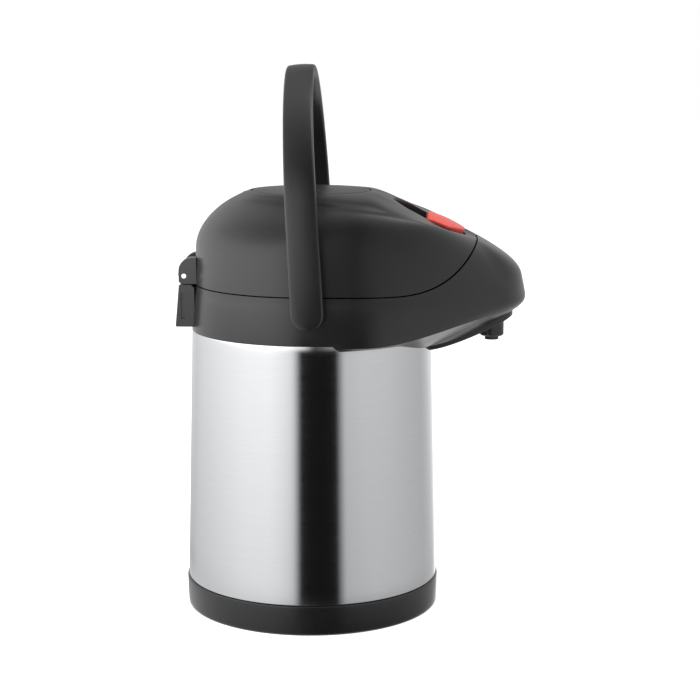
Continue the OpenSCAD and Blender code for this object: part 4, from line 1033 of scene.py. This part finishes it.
def placeScrews(name, places, sizes, body, node, seed):
    screw = screwMesh(name + "Pattern", sizes)
    carrier = pathObject(name, [(x, y, sizes["seatZ"]) for x, y in places])
    pinSteel = slotMaterials["pin_steel"]
    runTree(carrier, screwTree, {"Screw": screw, "Turn": 1.5, "Seed": seed, "Material": pinSteel})
    discard(screw)
    dress(carrier, name, body, "pin_steel", [node], 30)


placeScrews("lidPlateScrews", lidBossSpots, lidScrew, "lid", "lid_screws", 4)
coverSpots = [(screwX, -collar["screwY"]), (screwX, collar["screwY"])]
placeScrews("spoutCoverScrews", coverSpots, coverScrew, "flask", "cover_screws", 7)
print("springs and screws made")

# red lever
padAhead = recess["length"] / 2 - lever["frontGap"]
padBack = padAhead - lever["length"]
padMiddle = padAhead - lever["length"] / 2
padHalf = recess["halfW"] - lever["gap"]
padCrownR = (padHalf ** 2 + lever["crown"] ** 2) / (2 * lever["crown"])
frontR = recess["length"] / 2 - lever["gap"]
frontX = lever["gap"] - lever["frontGap"]
hookShape = [(-3.2, 2.6), (2.4, 1), (1.8, -7.2), (8.4, -9), (8.4, -10.8), (2.2, -13), (-1.2, -11.6),
             (-3.2, -3)]


def padRing(inset, height, steps=144):
    # Outline of the pad, drawn in by inset, with height(x, y) above the slope
    ring = []
    for i in range(steps):
        ahead, aside = onCircle(1.0, 360 * i / steps)
        offset = padMiddle - frontX
        run = -offset * ahead + math.sqrt((frontR - inset) ** 2 - (offset * aside) ** 2)
        if abs(aside) > 1e-9:
            run = min(run, (padHalf - inset) / abs(aside))
        if ahead < -1e-9:
            run = min(run, (padMiddle - padBack - inset) / -ahead)
        x, y = padMiddle + run * ahead, run * aside
        ring.append((x, y, height(x, y)))
    return ring


def padTop(x, y):
    return lever["crown"] - ((x - padMiddle) ** 2 + y * y) / (2 * padCrownR)


padRings = [padRing(0.4, lambda x, y: -3.0), padRing(0.0, lambda x, y: -2.6)]
for k in range(7):
    outShare, upShare = onCircle(1.0, 15 * k)
    inset, drop = lever["soft"] * (1 - outShare), lever["soft"] * (1 - upShare)
    padRings.append(padRing(inset, lambda x, y, drop=drop: padTop(x, y) - drop))
rim = padRings[-1]
for share in (0.85, 0.68, 0.5, 0.32, 0.15):
    inner = [(padMiddle + (x - padMiddle) * share, y * share) for x, y, _ in rim]
    padRings.append([(x, y, padTop(x, y)) for x, y in inner])
redPad = place(loft("redPad", padRings), onSlope)
hookHalf = lever["hookW"] / 2
hook = prism("hook", [(leverPin.x + x, leverPin.z + z) for x, z in hookShape], -hookHalf, hookHalf)
barrel = axle("barrel", lever["barrelR"], leverPin.x, leverPin.z, -hookHalf, hookHalf, 48)
joinInto(redPad, hook, barrel)
dress(redPad, "redLever", "lever", "signal_red", ["latch"], 40)
print("lever made")

# floor
floorSize = {"half": 6000.0, "shadeFrom": 0.12, "shadeTo": 0.4, "shade": 0.84}     # shade places in metres
half = floorSize["half"]
floorCorners = [(-half, -half, 0), (half, -half, 0), (half, half, 0), (-half, half, 0)]
floor = newObject("floor", meshFrom("floor", floorCorners, [], [(0, 1, 2, 3)]))
floorPaint = bpy.data.materials.new("paleFloor")
tree = emptyTree(floorPaint)
matt = addNode(tree, "ShaderNodeBsdfDiffuse", {"Color": toLinear("#e6e6e6")})
rays = addNode(tree, "ShaderNodeLightPath")
seen = addNode(tree, "ShaderNodeMath", {
    0: (rays, "Is Camera Ray"), 1: (rays, "Is Glossy Ray")}, operation="MAXIMUM")
seenAll = addNode(tree, "ShaderNodeMath", {0: seen, 1: (rays, "Is Transmission Ray")}, operation="MAXIMUM")
spot = addNode(tree, "ShaderNodeTexCoord")
away = addNode(tree, "ShaderNodeVectorMath", {0: (spot, "Object")}, operation="LENGTH")
whiter = addNode(tree, "ShaderNodeMapRange", {
    "From Min": floorSize["shadeFrom"], "From Max": floorSize["shadeTo"], "To Min": floorSize["shade"],
    "To Max": 1.0, "Value": (away, "Value")}, interpolation_type="SMOOTHSTEP")
strength = addNode(tree, "ShaderNodeMath", {0: seenAll, 1: whiter}, operation="MULTIPLY")
glow = addNode(tree, "ShaderNodeEmission", {"Color": (1, 1, 1, 1), "Strength": strength})
both = addNode(tree, "ShaderNodeAddShader", {0: matt, 1: glow})
addNode(tree, "ShaderNodeOutputMaterial", {0: both})
floor.data.materials.append(floorPaint)

# white round the pot, and a faint light from it
world = bpy.data.worlds.new("studio")
scene.world = world
tree = emptyTree(world)
rays = addNode(tree, "ShaderNodeLightPath")
seen = addNode(tree, "ShaderNodeMath", {
    0: (rays, "Is Camera Ray"), 1: (rays, "Is Transmission Ray")}, operation="MAXIMUM")
strength = addNode(tree, "ShaderNodeMapRange", {"To Min": 0.16, "To Max": 1.0, "Value": seen})
sky = addNode(tree, "ShaderNodeBackground", {"Color": (1, 1, 1, 1), "Strength": strength})
addNode(tree, "ShaderNodeOutputWorld", {0: sky})

# Reflector cards: one closed surround that only what shines can mirror. It begins on the floor beside
# the pot, stands up as a wall and closes as a dome. A column's angle is the way a spot of the steel
# faces, in degrees right of the camera, and the column lies where that spot mirrors. Rows are
# millimetres: below 0 along the floor to the wall's foot, then up the wall, and past its top
# the degrees up the dome. Each row gives the brightness at some angles, as angle: brightness.
surround = {
    "foot": 81.0,
    "r": 205.0,
    "top": 330.0,
    "floorRun": 124,
    "halfTurn": 86,
    "behind": 24,
    "rows": {
        -124: {-90: 0.9, -62: 0.87, -46: 0.8, -35: 0.73, -19: 0.64, -10: 0.34, -3: 0.14, 3: 0.05,
            12: 0.06, 20: 0.16, 28: 0.26, 37: 0.33, 47: 0.4, 60: 0.44, 74: 0.7, 82: 1.5, 90: 1.5},
        -40: {-90: 0.55, -75: 0.58, -66: 0.8, -62: 0.85, -47: 0.99, -32: 1.12, -20: 1.13, -14: 1.04,
            -9.5: 0.9, -7.8: 0.7, -5.2: 0.01, 11: 0.01, 13.3: 0.4, 15: 0.68, 24: 0.74, 30: 0.77,
            44: 0.73, 62: 0.64, 75: 0.7, 83: 1.5, 90: 1.5},
        160: {-90: 0.9, -70: 0.95, -62: 1.16, -47: 1.38, -32: 1.56, -20: 1.6, -14: 1.44, -9.5: 1.25,
            -7.8: 0.9, -5.2: 0.01, 11: 0.01, 13.3: 0.5, 15: 0.85, 24: 0.92, 37: 0.89, 44: 0.82, 53: 0.75,
            62: 0.68, 68: 0.8, 74: 1.0, 90: 1.0},
        183: {-90: 0.9, -70: 0.95, -62: 1.16, -47: 1.4, -32: 1.7, -20: 1.75, -14: 1.5, -9.5: 1.25,
            -7.8: 0.9, -5.2: 0.02, 11: 0.02, 13.3: 0.5, 15: 0.75, 24: 0.85, 37: 0.85, 44: 0.82, 53: 0.78,
            62: 0.72, 68: 0.8, 74: 1.0, 90: 0.9},
        200: {-90: 0.5, -78: 0.8, -72: 0.95, -62: 1.45, -48: 2.2, -32: 2.7, -20: 2.7, -14: 2.2, -7: 1.5,
            -4.5: 1.3, -2: 0.75, 0: 0.2, 1.5: 0.08, 5: 0.2, 8: 0.36, 14: 0.55, 27: 0.75, 42: 0.85,
            62: 0.85, 78: 0.7, 90: 0.5},
        290: {-90: 0.5, -78: 0.8, -72: 0.95, -62: 1.45, -48: 2.0, -32: 2.2, -20: 2.2, -14: 1.9, -7: 1.45,
            -4.5: 1.3, -2: 0.75, 0: 0.2, 1.5: 0.07, 5: 0.14, 8: 0.26, 14: 0.38, 27: 0.45, 42: 0.6,
            62: 0.8, 78: 0.7, 90: 0.5},
        330: {-90: 0.5, -70: 1.0, -45: 1.4, -20: 1.3, -7: 0.9, -3: 0.4, 0: 0.06, 8: 0.1, 20: 0.4,
            30: 0.62, 50: 0.8, 70: 0.6, 90: 0.4},
        342: {-90: 0.4, -82: 0.75, -70: 1.0, -45: 1.05, -20: 0.9, -7: 0.3, 0: 0.04, 10: 0.15, 28: 0.9,
            50: 1.1, 70: 0.7, 90: 0.3},
        355: {-90: 0.27, -82: 0.6, -70: 0.9, -45: 0.85, -20: 0.75, -5: 0.2, 0: 0.12, 10: 0.3, 28: 1.0,
            38: 2.2, 48: 3.0, 54: 3.0, 62: 1.6, 69: 0.9, 78: 0.35, 90: 0.27},
        370: {-90: 0.27, -80: 0.6, -70: 0.9, -45: 0.8, 0: 0.3, 26: 0.9, 36: 2.2, 50: 2.9, 62: 1.7,
            70: 0.8, 77: 0.25, 90: 0.2},
        390: {-90: 0.45, -45: 0.75, 0: 0.5, 30: 1.3, 46: 2.2, 60: 1.8, 75: 0.6, 90: 0.4},
        420: {-90: 0.8, 90: 0.8},
    },
}
facing = math.atan2(cameraSetup["place"][0], -cameraSetup["place"][1])


def inWay(angle, distance):
    return Vector((math.sin(angle), -math.cos(angle))) * distance


def surroundColumns():
    # Each column's angle, its start beside the pot and its foot on the wall
    camera2d = Vector(cameraSetup["place"][:2])
    columns = []
    for angle in range(-surround["halfTurn"], surround["halfTurn"] + 1):
        normal = inWay(facing + math.radians(angle), 1)
        start = normal * surround["foot"]
        toCamera = (camera2d - start).normalized()
        mirrored = 2 * normal.dot(toCamera) * normal - toCamera
        along = start.dot(mirrored)
        run = -along + math.sqrt(along ** 2 + surround["r"] ** 2 - surround["foot"] ** 2)
        columns.append((angle, start, start + mirrored * run))
    firstFoot, lastFoot = columns[0][2], columns[-1][2]
    endAngle = math.atan2(lastFoot.x, -lastFoot.y)
    startAngle = math.atan2(firstFoot.x, -firstFoot.y) + 2 * math.pi
    for i in range(1, surround["behind"]):      # behind the pot, from the last column round to the first
        share = i / surround["behind"]
        turn = mix(surround["halfTurn"], 360 - surround["halfTurn"], share)
        start = inWay(facing + math.radians(turn), surround["foot"])
        foot = inWay(mix(endAngle, startAngle, share), surround["r"])
        columns.append((90 if share < 0.5 else -90, start, foot))
    return columns


def surroundMesh():
    columns = surroundColumns()
    floorRun, top = surround["floorRun"], surround["top"]
    lift = 0.4      # the cards' floor part lies this far over the floor
    floorKeys = (-floorRun, -80, -40, 0)
    wallKeys = (20, 60, 110, 160, 172, 183, 191, 200, 245, 290, 310)
    domeKeys = tuple(top + degrees for degrees in range(0, 90, 6))
    rows = surround["rows"]
    points, glows = [], []
    for key in floorKeys + wallKeys + domeKeys:
        for angle, start, foot in columns:
            if key in floorKeys:
                spot = start.lerp(foot, (key + floorRun) / floorRun)
                points.append((spot.x, spot.y, lift))
            elif key in wallKeys:
                points.append((foot.x, foot.y, key))
            else:
                inward, upward = onCircle(1.0, key - top)
                points.append((foot.x * inward, foot.y * inward, top + surround["r"] * upward))
            atAngle = [np.interp(angle, list(levels), list(levels.values())) for levels in rows.values()]
            glows.append(float(np.interp(key, list(rows), atAngle)))
    faces = sideFaces(len(points) // len(columns), len(columns))
    faces.append(tuple(range(len(points) - len(columns), len(points))))
    mesh = meshFrom("reflectorCards", points, [], faces)
    mesh.attributes.new("cardGlow", "FLOAT", "POINT").data.foreach_set("value", glows)
    return mesh


cards = newObject("reflectorCards", surroundMesh())
cards.visible_camera = False
cards.visible_diffuse = False
cards.visible_shadow = False
cards.visible_transmission = False
cards.visible_volume_scatter = False
cardPaint = bpy.data.materials.new("cardPaint")
tree = emptyTree(cardPaint)
level = addNode(tree, "ShaderNodeAttribute", attribute_name="cardGlow")
glow = addNode(tree, "ShaderNodeEmission", {"Color": (1, 1, 1, 1), "Strength": (level, "Fac")})
addNode(tree, "ShaderNodeOutputMaterial", {0: glow})
cards.data.materials.append(cardPaint)

# Soft lamps, in metres and watts. What shines mirrors the cards and not the lamps.
lamps = {
    "leftPanel": {"place": (-1.15, -0.3, 0.62), "aim": (0, 0, 0.2), "size": (0.8, 1.1), "power": 17.0},
    "topPanel": {"place": (-0.1, -0.05, 1.35), "aim": (0, 0, 0.2), "size": (0.9, 0.9), "power": 16.0},
    "rightPanel": {"place": (1.2, -0.1, 0.6), "aim": (0, 0, 0.2), "size": (0.7, 0.9), "power": 5.0},
}
for name, panel in lamps.items():
    lamp = bpy.data.lights.new(name, "AREA")
    lamp.shape = "RECTANGLE"
    lamp.size, lamp.size_y = panel["size"]
    lamp.energy = panel["power"]
    holder = newObject(name, lamp)
    holder.visible_glossy = False
    holder.location = panel["place"]
    way = Vector(panel["aim"]) - Vector(panel["place"])
    holder.rotation_euler = way.to_track_quat("-Z", "Y").to_euler()

scene.view_settings.view_transform = "Standard"
print("studio made")
